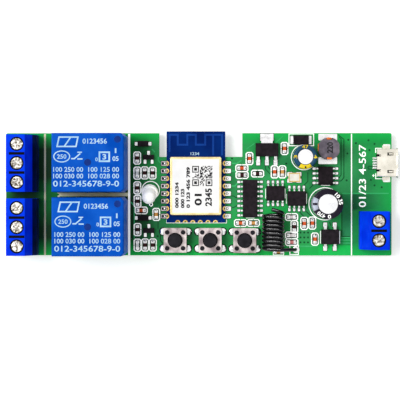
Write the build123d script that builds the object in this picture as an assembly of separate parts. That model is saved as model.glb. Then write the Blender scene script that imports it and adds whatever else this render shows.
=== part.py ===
from build123d import *
import math
import os

os.makedirs("parts", exist_ok=True)

# A smart relay module: a long circuit board that carries screw terminals, two relays, a radio
# module, three push buttons, a plug socket and a small power supply. Millimetres, +Z up, X along
# the board, wire terminals towards -X. The trimmed pins under the board stand on z = 0.

# Board
board_length = 102.5
board_width = 32.5
board_thickness = 1.6
board_corner_radius = 0.4
tail_length = 1.6
notch_width = 22.1
notch_depth = 6.3
hole_clearance = 0.15
pin_trim = 0.15
solder_fit = 0.01
solder_height = 0.9
solder_tip_wall = 0.15
solder_foot_wall = 0.45
cut_overrun = 1.0

# Pixels of the photograph place what stands on the board. Along the board the places spread with
# its length. Across it the parts fill the width, so they keep their distance from the middle line
# and the board's two long edges move by themselves.
board_left_px = 5.4
board_right_px = 391.3
board_middle_px = 194.3
across_share = 0.2659574
notch_left_px = 159.2
notch_right_px = 242.25

# Screw terminals
pole_pitch = 5.0
upper_terminal_px = 163.6
lower_terminal_px = 226.6
power_terminal_px = 229.95
terminal_edge_gap = 1.2
housing_depth = 7.5
housing_height = 10.0
housing_top_depth = 5.0
housing_slope_foot_height = 5.2
housing_back_step = 0.4
housing_edge_chamfer = 0.4
cage_depth = 3.5
cage_width = 3.9
cage_height = 4.5
cage_floor_thickness = 0.6
cage_top_thickness = 1.0
cage_side_thickness = 0.5
cage_travel = 2.0
cage_clearance = 0.12
cage_front_wall = 1.0
cavity_floor_height = 0.8
wire_entry_width = 3.3
wire_entry_height = 3.3
wire_entry_sill_height = 1.1
screw_shank_radius = 1.25
screw_head_radius = 1.55
screw_head_height = 1.2
screw_running_clearance = 0.05
screw_recess_clearance = 0.3
screw_head_depth = 0.35
screw_slot_width = 0.5
screw_slot_depth = 0.55
screw_cross_length = 2.1
screw_edge_fillet = 0.15
screw_rest_turns = (8, 52, -20, 30, 75, 12, -35, 64)
ledge_thickness = 0.65
strip_thickness = 0.45
strip_width = 2.4
strip_clearance = 0.06
leg_width = 1.0
leg_thickness = 0.6
leg_pocket_depth = 1.1
groove_length = 4.1
groove_width = 0.7
groove_depth = 1.5

# Relays
relay_length = 19.0
relay_width = 15.5
relay_height = 15.4
relay_top_inset = 0.15
relay_wall = 0.9
relay_corner_chamfer = 0.9
relay_edge_fillet = 0.45
relay_dimple_radius = 0.9
relay_dimple_depth = 0.25
relay_upper_px = (92.3, 163.4)
relay_lower_px = (92.3, 226.0)
relay_fit = 0.1
relay_base_thickness = 1.8
relay_standoff = 0.3
relay_pin_thickness = 0.6
relay_pin_width = 1.0
relay_com_offset = 7.1
relay_coil_pin_inset = 2.0
relay_pin_spread = 12.0
yoke_thickness = 1.0
yoke_width = 6.4
yoke_gap = 0.1
core_offset = 0.8
core_radius = 1.8
core_tenon_radius = 1.3
pole_radius = 3.0
pole_thickness = 0.8
bobbin_flange_side = 9.9
bobbin_flange_thickness = 0.8
bobbin_height = 6.4
bobbin_wall = 0.6
winding_radius = 4.9
armature_thickness = 1.0
armature_width = 6.8
armature_reach = 10.0
armature_swing = 2.5
armature_seat_gap = 0.06
blade_thickness = 0.3
blade_width = 3.0
blade_end_margin = 1.4
contact_radius = 1.2
contact_thickness = 0.5
contact_gap = 0.06
strip_metal_thickness = 0.5
strip_metal_width = 2.4

# Push buttons
button_px = ((175.5, 240.0), (210.4, 240.0), (244.7, 240.2))
button_side = 6.0
button_base_height = 3.1
button_standoff = 0.1
button_well_radius = 2.45
button_well_floor = 1.1
frame_thickness = 0.25
frame_flap_drop = 1.9
frame_flap_width = 3.4
frame_hole_radius = 2.0
button_cap_radius = 1.75
button_flange_radius = 2.2
button_flange_thickness = 0.6
button_nub_radius = 0.9
button_nub_length = 0.6
button_cap_height = 4.9
button_travel = 0.25
button_cap_fillet = 0.25
rivet_spread = 4.2
rivet_radius = 0.4
rivet_head_radius = 0.6
rivet_head_height = 0.2
dome_radius = 1.9
dome_rise = 0.3
dome_thickness = 0.08
button_leg_spread = 6.5
button_leg_pitch = 4.5
button_leg_width = 0.7
button_leg_thickness = 0.3
button_leg_height = 0.7
button_leg_bury = 0.9

# Radio module
radio_width = 15.6
radio_length = 24.2
radio_thickness = 0.8
radio_top_px = 131.508
radio_centre_px = 196.0
radio_hole_radius = 0.4
radio_pad_pitch = 2.0
radio_side_pads = 8
radio_end_pads = 6
radio_first_pad_px = 163.5
radio_end_pad_px = 177.8
shield_width = 13.6
shield_length = 15.4
shield_height = 2.4
shield_wall = 0.25
shield_corner_radius = 0.5
shield_left_px = 170.4
shield_top_px = 157.1
shield_slot_length = 4.4
shield_slot_height = 0.5
label_margin = 0.6
label_thickness = 0.08
radio_chip_side = 5.0
radio_chip_height = 0.9
memory_chip_length = 5.2
memory_chip_width = 4.0
memory_chip_height = 1.4

# Plug socket
socket_width = 7.4
socket_depth = 5.0
socket_height = 2.6
socket_wall = 0.35
socket_overhang = 1.45
socket_flare_length = 0.45
socket_flare_angle = 30.0
socket_centre_px = 163.1
socket_tongue_width = 3.7
socket_tongue_thickness = 0.6
socket_tongue_length = 3.4
socket_tongue_height = 1.1
socket_block_depth = 0.9
socket_contact_pitch = 0.65
socket_contact_count = 5
socket_contact_width = 0.3
socket_contact_thickness = 0.15
socket_contact_reach = 0.9
socket_tab_length = 1.9
socket_tab_reach = 1.1
socket_tab_thickness = 0.3
socket_window_length = 1.6
socket_window_width = 0.85
socket_window_spread = 4.6
socket_slot_length = 1.0
socket_slot_width = 0.6
socket_slot_spread = 4.0

# Electrolytic capacitors: middle pixel, radius, height, width of the sleeve's lip, lead pitch
capacitors = {
    "large": {"px": (325.7, 203.8), "radius": 4.0, "height": 12.0, "lip": 1.35, "lead_pitch": 3.5},
    "small": {"px": (304.5, 157.4), "radius": 3.15, "height": 7.0, "lip": 1.05, "lead_pitch": 2.5},
}
capacitor_sleeve = 0.12
capacitor_edge_fillet = 0.5
capacitor_bung_height = 1.2
capacitor_bung_fit = 0.05
capacitor_standoff = 0.3
capacitor_vent_depth = 0.12
capacitor_vent_width = 0.22
lead_radius = 0.25

# Power inductor
inductor_px = (328.25, 148.9)
inductor_length = 5.8
inductor_width = 5.4
inductor_height = 4.5
inductor_foot_thickness = 1.3
inductor_cap_thickness = 1.0
inductor_barrel_radius = 1.3
inductor_winding_radius = 2.35
inductor_notch_width = 1.5
inductor_notch_depth = 0.6
inductor_plate_thickness = 0.2
inductor_plate_length = 1.6

# Coil aerial: insulated wire wound on itself, one end soldered, the other free
coil_axis_px = 273.05
coil_pad_px = (295.5, 249.5)
coil_mean_radius = 2.5
coil_wire_radius = 0.31
coil_pitch = 1.064
coil_turns = 9
coil_ride_height = 0.35
coil_bend_radius = 1.1
coil_exit_angle = 46.0
coil_free_angle = 100.0
coil_quarter = 90.0
coil_free_climb_share = 0.9
least_gap_wanted = 0.4

# Small parts that lie flat on the board
flat_gap = 0.05
lead_width = 0.4
lead_thickness = 0.2
lead_foot = 0.55
chip_pitch = 1.27
chip_body_width = 3.9
chip_body_height = 1.45
chip_standoff = 0.15
chip_span = 6.0
chip_end_margin = 1.05
chip_chamfer = 0.25
chip_dot_radius = 0.35
chip_dot_margin = 0.9
chip_dot_depth = 0.08
chip_length = 1.6
chip_width = 0.8
chip_cap_length = 0.32
chip_cap_proud = 0.03
resistor_height = 0.45
ceramic_height = 0.8
led_chip_height = 0.6

# Middles of the small parts, in pixels. Level parts lie along the board, upright ones across it.
dual_row_chip_px = ((250.1, 198.6), (275.4, 193.3), (296.6, 198.5), (325.35, 175.85))
dual_row_turn_angles = (0, 90, 90, 0)
dual_row_pair_counts = (8, 4, 4, 4)
upright_resistor_px = (
    (137.1, 158.0), (144.6, 172.9), (152.5, 172.9), (137.2, 187.9), (137.4, 201.3),
    (137.4, 229.6), (145.0, 245.0), (152.8, 245.0), (294.4, 226.7),
)
level_resistor_px = ((242.1, 175.1), (257.6, 173.6), (291.6, 217.0), (291.6, 235.3))
upright_ceramic_px = (
    (156.2, 214.4), (249.5, 158.6), (284.5, 148.6), (274.6, 171.9), (282.4, 171.9),
    (304.2, 223.4), (312.3, 223.0), (314.9, 239.0),
)
level_ceramic_px = ((141.1, 210.4), (241.9, 168.2), (240.6, 223.0), (253.4, 222.9), (278.5, 251.6))
upright_indicator_px = ((137.2, 173.1), (137.4, 245.2))
level_indicator_px = ((291.8, 242.1),)

# Three-lead and two-lead power parts
tab_chip_px = (266.9, 149.9)
tab_chip_length = 6.0
tab_chip_width = 3.5
tab_chip_height = 1.6
tab_lead_pitch = 2.3
tab_lead_width = 0.75
tab_width = 3.0
tab_span = 7.2
bridge_px = (329.9, 236.6)
bridge_length = 4.7
bridge_width = 3.9
bridge_height = 2.2
bridge_lead_pitch = 2.54
bridge_lead_width = 0.7
bridge_span = 6.6
small_transistor_px = ((148.5, 157.3), (148.8, 230.5))
small_transistor_length = 2.9
small_transistor_width = 1.3
small_transistor_height = 1.0
small_transistor_pitch = 1.9
small_transistor_span = 2.5
power_diode_px = (300.9, 140.05)
power_diode_length = 4.05
power_diode_width = 2.5
power_diode_height = 2.1
power_diode_span = 5.2
power_diode_lead_width = 1.4
signal_diode_px = ((143.0, 143.8), (143.1, 217.9))
signal_diode_length = 2.9
signal_diode_width = 1.5
signal_diode_height = 1.0
signal_diode_span = 4.2
signal_diode_lead_width = 0.6
crystal_px = (294.35, 177.45)
crystal_length = 3.2
crystal_width = 2.5
crystal_base_height = 0.5
crystal_lid_height = 0.3
crystal_rim = 0.25

# Milky round lamp that stands on its leads and leans to the front edge and a little to the relays
lamp_px = (150.3, 190.4)
lamp_radius = 1.75
lamp_height = 5.3
lamp_flange_radius = 2.15
lamp_flange_thickness = 0.9
lamp_lead_pitch = 2.54
lamp_lead_bend_height = 0.5
lamp_lead_rise = 0.8
lamp_lean = 25.0
lamp_side_lean = -3.0

# Heights that the rest hangs on
board_bottom = tail_length
board_top = board_bottom + board_thickness
mm_per_px_x = board_length / (board_right_px - board_left_px)
origin_x = socket_overhang / 2
radio_top = (board_middle_px - radio_top_px) * across_share
origin_y = max(0, radio_top - board_width / 2) / 2
nodes = {}
pins = []


def spot(px, py):
    """Place on the board of a pixel of the photograph."""
    x = (px - (board_left_px + board_right_px) / 2) * mm_per_px_x
    y = (board_middle_px - py) * across_share
    return x, y


def block(x, y, z, length, width, height):
    """Upright box: middle in plan, foot height, sides."""
    return Pos(x, y, z + height / 2) * Box(length, width, height)


def rod(x, y, z, radius, height):
    """Upright cylinder: middle in plan, foot height, radius, height."""
    return Pos(x, y, z + height / 2) * Cylinder(radius, height)


def prism_y(points, y_low, y_high):
    """Prism along Y over an outline of (x, z) points."""
    outline = Polyline(*[(x, y_low, z) for x, z in points], close=True)
    return extrude(make_face(outline), amount=y_high - y_low, dir=(0, 1, 0))


def prism_z(points, z_low, z_high):
    """Prism along Z over an outline of (x, y) points."""
    outline = Polyline(*[(x, y, z_low) for x, y in points], close=True)
    return extrude(make_face(outline), amount=z_high - z_low, dir=(0, 0, 1))


def put(x, y, z, shape, turn=0):
    """Carry a shape from its own frame to a place, turned about Z."""
    return Pos(x, y, z) * Rot(0, 0, turn) * shape


def node(name, shapes):
    """Keep the solids of a named piece until the parts are written."""
    nodes.setdefault(name, []).extend(shapes if isinstance(shapes, list) else [shapes])


def pin_through(x, y, length, width, round_pin=False):
    """Note a soldered pin, so that the board gets its hole and the solder its cone."""
    pins.append((x, y, length, width, round_pin))


def reach_of(length, width, round_pin):
    """Largest half size of a pin's section."""
    return length / 2 if round_pin else math.hypot(length, width) / 2


# Screw terminals. The frame: x from the wire side inwards, y along the row, z from the board.
cage_front = cage_front_wall + cage_clearance
screw_axis = cage_front + cage_depth / 2
pocket_depth = cage_depth + 2 * cage_clearance
pocket_width = cage_width + 2 * cage_clearance
head_foot = housing_height - screw_head_depth - screw_head_height
ledge_top = head_foot - screw_running_clearance
cavity_top = ledge_top - ledge_thickness
cage_foot = cavity_floor_height + cage_clearance
strip_top = cage_foot + cage_height - cage_top_thickness - strip_clearance
strip_foot = strip_top - strip_thickness
shank_end = strip_top + strip_clearance
leg_back = cage_front_wall + pocket_depth + leg_pocket_depth
leg_place = leg_back - cage_clearance - leg_thickness / 2


def pole_rows(poles):
    """Places of the poles along the row, lowest first."""
    return [(i - (poles - 1) / 2) * pole_pitch for i in range(poles)]


def terminal_housing(poles):
    """Moulded housing: sloped back, a cage pocket, wire entry and screw well for each pole."""
    half = poles * pole_pitch / 2
    outline = [
        (0, 0),
        (0, housing_height - housing_edge_chamfer),
        (housing_edge_chamfer, housing_height),
        (housing_top_depth, housing_height),
        (housing_depth - housing_back_step, housing_slope_foot_height),
        (housing_depth, housing_slope_foot_height - housing_back_step),
        (housing_depth, 0),
    ]
    body = prism_y(outline, -half, half)
    pocket_middle = cage_front_wall + pocket_depth / 2
    leg_height = strip_top + cage_clearance - cavity_floor_height
    leg_pocket_middle = leg_back - leg_pocket_depth / 2
    cuts = []
    for y in pole_rows(poles):
        cuts.append(block(pocket_middle, y, cavity_floor_height,
                          pocket_depth, pocket_width, cavity_top - cavity_floor_height))
        cuts.append(block(leg_pocket_middle, y, cavity_floor_height,
                          leg_pocket_depth + cage_clearance, strip_width + 2 * cage_clearance,
                          leg_height))
        cuts.append(block(leg_place, y, -cut_overrun, leg_thickness + 2 * solder_fit,
                          leg_width + 2 * solder_fit, cavity_floor_height + 2 * cut_overrun))
        cuts.append(block(0, y, wire_entry_sill_height, 2 * cage_front_wall + cut_overrun,
                          wire_entry_width, wire_entry_height))
        cuts.append(rod(screw_axis, y, ledge_top, screw_head_radius + screw_recess_clearance,
                        housing_height - ledge_top + cut_overrun))
        cuts.append(rod(screw_axis, y, cavity_top - cut_overrun,
                        screw_shank_radius + screw_running_clearance,
                        ledge_thickness + 2 * cut_overrun))
    for y in pole_rows(poles - 1):
        cuts.append(block(screw_axis, y, housing_height - groove_depth,
                          groove_length, groove_width, groove_depth + cut_overrun))
    return body - cuts


def terminal_screw():
    """Cross-slotted screw, captive in the housing; its shank turns in the cage."""
    head = rod(0, 0, head_foot, screw_head_radius, screw_head_height)
    head = fillet(head.edges().group_by(Axis.Z)[-1], screw_edge_fillet)
    shank = rod(0, 0, shank_end, screw_shank_radius, head_foot - shank_end)
    slot_foot = head_foot + screw_head_height - screw_slot_depth
    slot_depth = screw_slot_depth + cut_overrun
    across = 2 * screw_head_radius + cut_overrun
    slot = block(0, 0, slot_foot, across, screw_slot_width, slot_depth)
    cross = block(0, 0, slot_foot, screw_slot_width, screw_cross_length, slot_depth)
    return head + shank - [slot, cross]


def clamp_cage():
    """Square brass cage: the screw lifts it, and it pulls the wire up against the strip."""
    cage = block(0, 0, cage_foot, cage_depth, cage_width, cage_height)
    window_width = cage_width - 2 * cage_side_thickness
    window_height = cage_height - cage_floor_thickness - cage_top_thickness
    window = block(0, 0, cage_foot + cage_floor_thickness, cage_depth + cut_overrun,
                   window_width, window_height)
    thread = rod(0, 0, cage_foot + cage_height - cage_top_thickness - cut_overrun,
                 screw_shank_radius + screw_running_clearance,
                 cage_top_thickness + 2 * cut_overrun)
    return cage - [window, thread]


def contact_strip():
    """Tinned strip that runs through the cage, bends down and ends as the soldered pin."""
    strip_front = cage_front + cage_clearance
    strip_length = leg_place + leg_thickness / 2 - strip_front
    strip = block(strip_front + strip_length / 2, 0, strip_foot,
                  strip_length, strip_width, strip_thickness)
    foot = -board_thickness - tail_length
    leg = block(leg_place, 0, foot, leg_thickness, leg_width, strip_foot - foot)
    return strip + leg


def build_terminals():
    """Two three-pole rows on the left edge, one two-pole row on the right edge."""
    left_face = -board_length / 2 + terminal_edge_gap
    right_face = board_length / 2 - terminal_edge_gap
    rows = (
        ("upper", left_face, upper_terminal_px, 0, 3),
        ("lower", left_face, lower_terminal_px, 0, 3),
        ("power", right_face, power_terminal_px, 180, 2),
    )
    number = 0
    for name, face, row_px, turn, poles in rows:
        middle_y = spot(0, row_px)[1]
        inwards = 1 if turn == 0 else -1
        node(f"terminal_housing_{name}",
             put(face, middle_y, board_top, terminal_housing(poles), turn))
        for y in reversed(pole_rows(poles)):
            number += 1
            x = face + inwards * screw_axis
            left_turned = screw_rest_turns[number - 1]
            node(f"terminal_screw_{number}",
                 put(x, middle_y + y, board_top, terminal_screw(), left_turned))
            node(f"clamp_cage_{number}", put(x, middle_y + y, board_top, clamp_cage()))
            node("terminal_contacts", put(face, middle_y + y, board_top, contact_strip(), turn))
            pin_through(face + inwards * leg_place, middle_y + y, leg_thickness, leg_width)


# Relays. The frame: middle of the relay, common pin towards -x, z from the board.
cavity_half_length = relay_length / 2 - relay_top_inset - relay_wall
cavity_half_width = relay_width / 2 - relay_top_inset - relay_wall
cavity_height = relay_height - relay_wall
base_top = relay_standoff + relay_base_thickness
yoke_foot = base_top + yoke_gap
bobbin_foot = yoke_foot + yoke_thickness
bobbin_top = bobbin_foot + bobbin_height
pole_top = bobbin_top + pole_thickness
yoke_back = -relay_com_offset + relay_pin_thickness / 2
hinge_x = yoke_back + yoke_thickness / 2
hinge_z = pole_top + armature_seat_gap
contact_x = relay_com_offset - blade_end_margin / 2
no_pin = (relay_com_offset, -relay_pin_spread / 2)
nc_pin = (relay_com_offset, relay_pin_spread / 2)


def relay_cover():
    """Drawn-in box, open below, with two corners cut and two moulding dimples on top."""
    half_x = relay_length / 2
    half_y = relay_width / 2
    cut = relay_corner_chamfer
    outline = [
        (-half_x, -half_y), (half_x - cut, -half_y), (half_x, -half_y + cut),
        (half_x, half_y - cut), (half_x - cut, half_y), (-half_x, half_y),
    ]
    face = make_face(Polyline(*[(x, y, relay_standoff) for x, y in outline], close=True))
    height = relay_height - relay_standoff
    draft = math.degrees(math.atan2(relay_top_inset, height))
    shell = extrude(face, amount=height, dir=(0, 0, 1), taper=draft)
    shell = fillet(shell.edges().group_by(Axis.Z)[-1], relay_edge_fillet)
    hollow = block(0, 0, relay_standoff - cut_overrun, 2 * cavity_half_length,
                   2 * cavity_half_width, cavity_height - relay_standoff + cut_overrun)
    corner_x = half_x - 2 * relay_corner_chamfer
    corner_y = half_y - 2 * relay_corner_chamfer
    dimples = [
        rod(0, 0, relay_height - relay_dimple_depth, relay_dimple_radius, cut_overrun),
        rod(corner_x, corner_y, relay_height - relay_dimple_depth, relay_dimple_radius, cut_overrun),
    ]
    return shell - hollow - dimples


def pin_slots():
    """Openings of the base that the five pins pass."""
    coil_x = -relay_com_offset + relay_coil_pin_inset
    places = [
        (-relay_com_offset, 0), (coil_x, relay_pin_spread / 2), (coil_x, -relay_pin_spread / 2),
        no_pin, nc_pin,
    ]
    return places


def relay_base():
    """Base plate that closes the cover from below."""
    plate = block(0, 0, relay_standoff, 2 * (cavity_half_length - relay_fit),
                  2 * (cavity_half_width - relay_fit), relay_base_thickness)
    slots = [
        block(x, y, relay_standoff - cut_overrun, relay_pin_thickness + 2 * solder_fit,
              relay_pin_width + 2 * solder_fit, relay_base_thickness + 2 * cut_overrun)
        for x, y in pin_slots()
    ]
    return plate - slots


def relay_bobbin():
    """Moulded spool: two square flanges on a bored barrel."""
    barrel_radius = core_radius + bobbin_wall
    foot = block(core_x, 0, bobbin_foot, bobbin_flange_side, bobbin_flange_side,
                 bobbin_flange_thickness)
    head = block(core_x, 0, bobbin_top - bobbin_flange_thickness, bobbin_flange_side,
                 bobbin_flange_side, bobbin_flange_thickness)
    barrel = rod(core_x, 0, bobbin_foot, barrel_radius, bobbin_height)
    bore = rod(core_x, 0, bobbin_foot - cut_overrun, core_radius + solder_fit,
               bobbin_height + 2 * cut_overrun)
    return foot + head + barrel - bore


def relay_winding():
    """Wound copper between the spool's flanges, as one ring."""
    low = bobbin_foot + bobbin_flange_thickness
    height = bobbin_height - 2 * bobbin_flange_thickness
    ring = rod(core_x, 0, low, winding_radius, height)
    return ring - rod(core_x, 0, low - cut_overrun, core_radius + bobbin_wall + solder_fit,
                      height + 2 * cut_overrun)


def relay_core():
    """Iron core with its pole face, staked into the yoke."""
    tenon = rod(core_x, 0, yoke_foot, core_tenon_radius, yoke_thickness)
    body = rod(core_x, 0, bobbin_foot, core_radius, bobbin_height)
    pole = rod(core_x, 0, bobbin_top, pole_radius, pole_thickness)
    return tenon + body + pole


def relay_yoke():
    """L-shaped iron yoke: a plate under the spool and a leg that the armature rocks on."""
    front = core_x + core_radius + bobbin_wall
    plate = block((yoke_back + front) / 2, 0, yoke_foot, front - yoke_back, yoke_width, yoke_thickness)
    leg = block(hinge_x, 0, yoke_foot, yoke_thickness, yoke_width, pole_top - yoke_foot)
    hole = rod(core_x, 0, yoke_foot - cut_overrun, core_tenon_radius + solder_fit,
               yoke_thickness + 2 * cut_overrun)
    return plate + leg - hole


core_x = -core_offset
blade_foot = hinge_z + armature_thickness
blade_end = contact_x + blade_end_margin
contact_low = blade_foot - contact_thickness
swing_at_contact = (contact_x - hinge_x) * math.tan(math.radians(armature_swing))


def rocked(shape):
    """Lift the free end by the swing, as the spring holds it at rest."""
    return Pos(hinge_x, 0, hinge_z) * Rot(0, -armature_swing, 0) * Pos(-hinge_x, 0, -hinge_z) * shape


def relay_armature():
    """Iron flap over the pole, at rest lifted by its spring."""
    flap = block(hinge_x - yoke_thickness / 2 + armature_reach / 2, 0, hinge_z,
                 armature_reach, armature_width, armature_thickness)
    return rocked(flap)


def relay_blade():
    """Spring blade on the flap, with the moving contact at its end."""
    start = hinge_x + yoke_thickness
    strip = block((start + blade_end) / 2, 0, blade_foot, blade_end - start, blade_width,
                  blade_thickness)
    button = rod(contact_x, 0, contact_low, contact_radius,
                 2 * contact_thickness + blade_thickness)
    return rocked(strip + button)


def relay_pins():
    """Five pins; the two contact pins carry arms that end over and under the blade."""
    foot = -board_thickness - tail_length
    coil_x = -relay_com_offset + relay_coil_pin_inset
    side = relay_pin_spread / 2
    pieces = []
    for x, y in ((coil_x, side), (coil_x, -side)):
        pieces.append(block(x, y, foot, relay_pin_thickness, relay_pin_width,
                            bobbin_foot - yoke_gap - foot))
    com_height = yoke_foot + 2 * yoke_thickness - foot
    pieces.append(block(-relay_com_offset, 0, foot, relay_pin_thickness, relay_pin_width,
                        com_height))
    low_face = contact_low - contact_gap
    top_of_button = blade_foot + blade_thickness + contact_thickness
    high_face = top_of_button + swing_at_contact + 2 * contact_gap
    arm_side = side + relay_pin_width / 2
    for (x, y), face, up in ((no_pin, low_face, -1), (nc_pin, high_face, 1)):
        arm_foot = face - contact_thickness - strip_metal_thickness
        if up > 0:
            arm_foot = face + contact_thickness
        button_foot = min(face, face + up * contact_thickness)
        post = block(x, y, foot, relay_pin_thickness, relay_pin_width, arm_foot - foot)
        toward = 1 if y > 0 else -1
        arm_start = toward * arm_side
        arm_end = -toward * strip_metal_width / 2
        arm = block(x - (relay_com_offset - contact_x) / 2, (arm_start + arm_end) / 2, arm_foot,
                    strip_metal_width, abs(arm_start - arm_end), strip_metal_thickness)
        button = rod(contact_x, 0, button_foot, contact_radius, contact_thickness)
        pieces.append(post + arm + button)
    return pieces


def build_relays():
    """Two equal relays, one above the other."""
    for name, px in (("upper", relay_upper_px), ("lower", relay_lower_px)):
        x, y = spot(*px)
        node("relay_covers", put(x, y, board_top, relay_cover()))
        node("relay_bases", put(x, y, board_top, relay_base()))
        node("relay_bobbins", put(x, y, board_top, relay_bobbin()))
        node("relay_windings", put(x, y, board_top, relay_winding()))
        node("relay_magnet_frames", put(x, y, board_top, relay_core()))
        node("relay_magnet_frames", put(x, y, board_top, relay_yoke()))
        node("relay_pins", [put(x, y, board_top, pin) for pin in relay_pins()])
        node(f"relay_armature_{name}", put(x, y, board_top, relay_armature()))
        node(f"relay_blade_{name}", put(x, y, board_top, relay_blade()))
        for pin_x, pin_y in pin_slots():
            pin_through(x + pin_x, y + pin_y, relay_pin_thickness, relay_pin_width)


# Push buttons. The frame: middle of the button, z from the board.
frame_foot = button_base_height
flange_top = button_base_height - solder_fit - flat_gap
flange_foot = flange_top - button_flange_thickness
nub_foot = flange_foot - button_nub_length


def corners(spread):
    """Four corners of a square."""
    half = spread / 2
    return [(sx * half, sy * half) for sx in (-1, 1) for sy in (-1, 1)]


def button_base():
    """Black base with its well and four staked rivets."""
    body = block(0, 0, button_standoff, button_side, button_side,
                 button_base_height - button_standoff)
    well = rod(0, 0, button_well_floor, button_well_radius, button_base_height)
    slots = [
        block(sx * (button_leg_spread / 2 - button_leg_bury / 2), sy * button_leg_pitch / 2,
              button_leg_height - solder_fit, button_leg_bury + button_leg_thickness + solder_fit,
              button_leg_width + 2 * solder_fit, button_leg_thickness + 2 * solder_fit)
        for sx in (-1, 1) for sy in (-1, 1)
    ]
    body = body - well - slots
    head_foot_z = frame_foot + frame_thickness
    for x, y in corners(rivet_spread):
        body += rod(x, y, frame_foot, rivet_radius, frame_thickness)
        body += rod(x, y, head_foot_z, rivet_head_radius, rivet_head_height)
    return body


def button_frame():
    """Sheet-metal frame over the base, folded down on two sides."""
    plate = block(0, 0, frame_foot, button_side, button_side + 2 * frame_thickness,
                  frame_thickness)
    plate -= rod(0, 0, frame_foot - cut_overrun, frame_hole_radius, 2 * cut_overrun)
    plate -= [
        rod(x, y, frame_foot - cut_overrun, rivet_radius + solder_fit, 2 * cut_overrun)
        for x, y in corners(rivet_spread)
    ]
    flap_y = button_side / 2 + frame_thickness / 2
    for side in (-1, 1):
        plate += block(0, side * flap_y, frame_foot - frame_flap_drop, frame_flap_width,
                       frame_thickness, frame_flap_drop)
    return plate


def button_cap():
    """Round cap: stem through the frame, flange under it, nub over the dome."""
    stem = rod(0, 0, flange_foot, button_cap_radius, button_cap_height - flange_foot)
    stem = fillet(stem.edges().group_by(Axis.Z)[-1], button_cap_fillet)
    flange = rod(0, 0, flange_foot, button_flange_radius, button_flange_thickness)
    nub = rod(0, 0, nub_foot, button_nub_radius, button_nub_length)
    return stem + flange + nub


def snap_dome():
    """Sprung steel dome in the well: a slice of a thin ball shell."""
    ball = (dome_radius**2 + dome_rise**2) / (2 * dome_rise)
    centre = button_well_floor + solder_fit + dome_rise - ball
    outer = Pos(0, 0, centre) * Sphere(ball)
    inner = Pos(0, 0, centre) * Sphere(ball - dome_thickness)
    keep = rod(0, 0, button_well_floor + solder_fit, dome_radius, dome_rise + dome_thickness)
    return (outer & keep) - inner


def button_legs():
    """Four legs that leave the base sideways and turn down into the board."""
    foot = -board_thickness - tail_length + pin_trim
    legs = []
    for sx in (-1, 1):
        for sy in (-1, 1):
            x = sx * button_leg_spread / 2
            y = sy * button_leg_pitch / 2
            flat = block(x - sx * button_leg_bury / 2, y, button_leg_height,
                         button_leg_bury, button_leg_width, button_leg_thickness)
            top = button_leg_height + button_leg_thickness
            post = block(x, y, foot, button_leg_thickness, button_leg_width, top - foot)
            legs.append(flat + post)
    return legs


def build_buttons():
    """Three equal push buttons in a row."""
    for number, px in enumerate(button_px, start=1):
        x, y = spot(*px)
        node("button_bases", put(x, y, board_top, button_base()))
        node("button_frames", put(x, y, board_top, button_frame()))
        node(f"button_cap_{number}", put(x, y, board_top, button_cap()))
        node("button_domes", put(x, y, board_top, snap_dome()))
        node("button_legs", [put(x, y, board_top, leg) for leg in button_legs()])
        for sx in (-1, 1):
            for sy in (-1, 1):
                pin_through(x + sx * button_leg_spread / 2, y + sy * button_leg_pitch / 2,
                            button_leg_thickness, button_leg_width)


def build_radio():
    """Radio module: its own board with half-round edge pads, shield, label and chips."""
    x = spot(radio_centre_px, 0)[0]
    y_top = radio_top
    y_middle = y_top - radio_length / 2
    y_bottom = y_top - radio_length
    top = board_top + radio_thickness
    half = radio_width / 2
    plate = block(x, y_middle, board_top, radio_width, radio_length, radio_thickness)
    first_y = spot(0, radio_first_pad_px)[1]
    holes = []
    for i in range(radio_side_pads):
        for side in (-1, 1):
            holes.append(rod(x + side * half, first_y - i * radio_pad_pitch,
                             board_top - cut_overrun, radio_hole_radius,
                             radio_thickness + 2 * cut_overrun))
    first_x = spot(radio_end_pad_px, 0)[0]
    for i in range(radio_end_pads):
        holes.append(rod(first_x + i * radio_pad_pitch, y_bottom, board_top - cut_overrun,
                         radio_hole_radius, radio_thickness + 2 * cut_overrun))
    node("radio_board", plate - holes)
    left, upper = spot(shield_left_px, shield_top_px)
    shield_x = left + shield_width / 2
    shield_y = upper - shield_length / 2
    outline = Pos(shield_x, shield_y, top) * RectangleRounded(shield_width, shield_length,
                                                             shield_corner_radius)
    can = extrude(outline, amount=shield_height)
    can = fillet(can.edges().group_by(Axis.Z)[-1], shield_wall)
    can -= block(shield_x, shield_y, top - cut_overrun, shield_width - 2 * shield_wall,
                 shield_length - 2 * shield_wall, shield_height - shield_wall + cut_overrun)
    for sx, sy, along in ((0, -1, 0), (1, 1, 0), (-1, 0, 1), (1, -1, 1)):
        slot_x = shield_x + sx * (shield_width / 2 if along else shield_width / 4)
        slot_y = shield_y + sy * (shield_length / 4 if along else shield_length / 2)
        size_x = 2 * shield_corner_radius if along else shield_slot_length
        size_y = shield_slot_length if along else 2 * shield_corner_radius
        can -= block(slot_x, slot_y, top - cut_overrun, size_x, size_y,
                     shield_slot_height + cut_overrun)
    node("radio_shield", can)
    node("radio_label", block(shield_x, shield_y, top + shield_height,
                              shield_width - 2 * label_margin, shield_length - 2 * label_margin,
                              label_thickness))
    chip_y = shield_y - shield_length / 5
    memory_y = shield_y + shield_length / 4
    node("radio_chips", [
        block(shield_x, chip_y, top + flat_gap, radio_chip_side, radio_chip_side,
              radio_chip_height),
        block(shield_x, memory_y, top + flat_gap, memory_chip_length, memory_chip_width,
              memory_chip_height),
    ])


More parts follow.
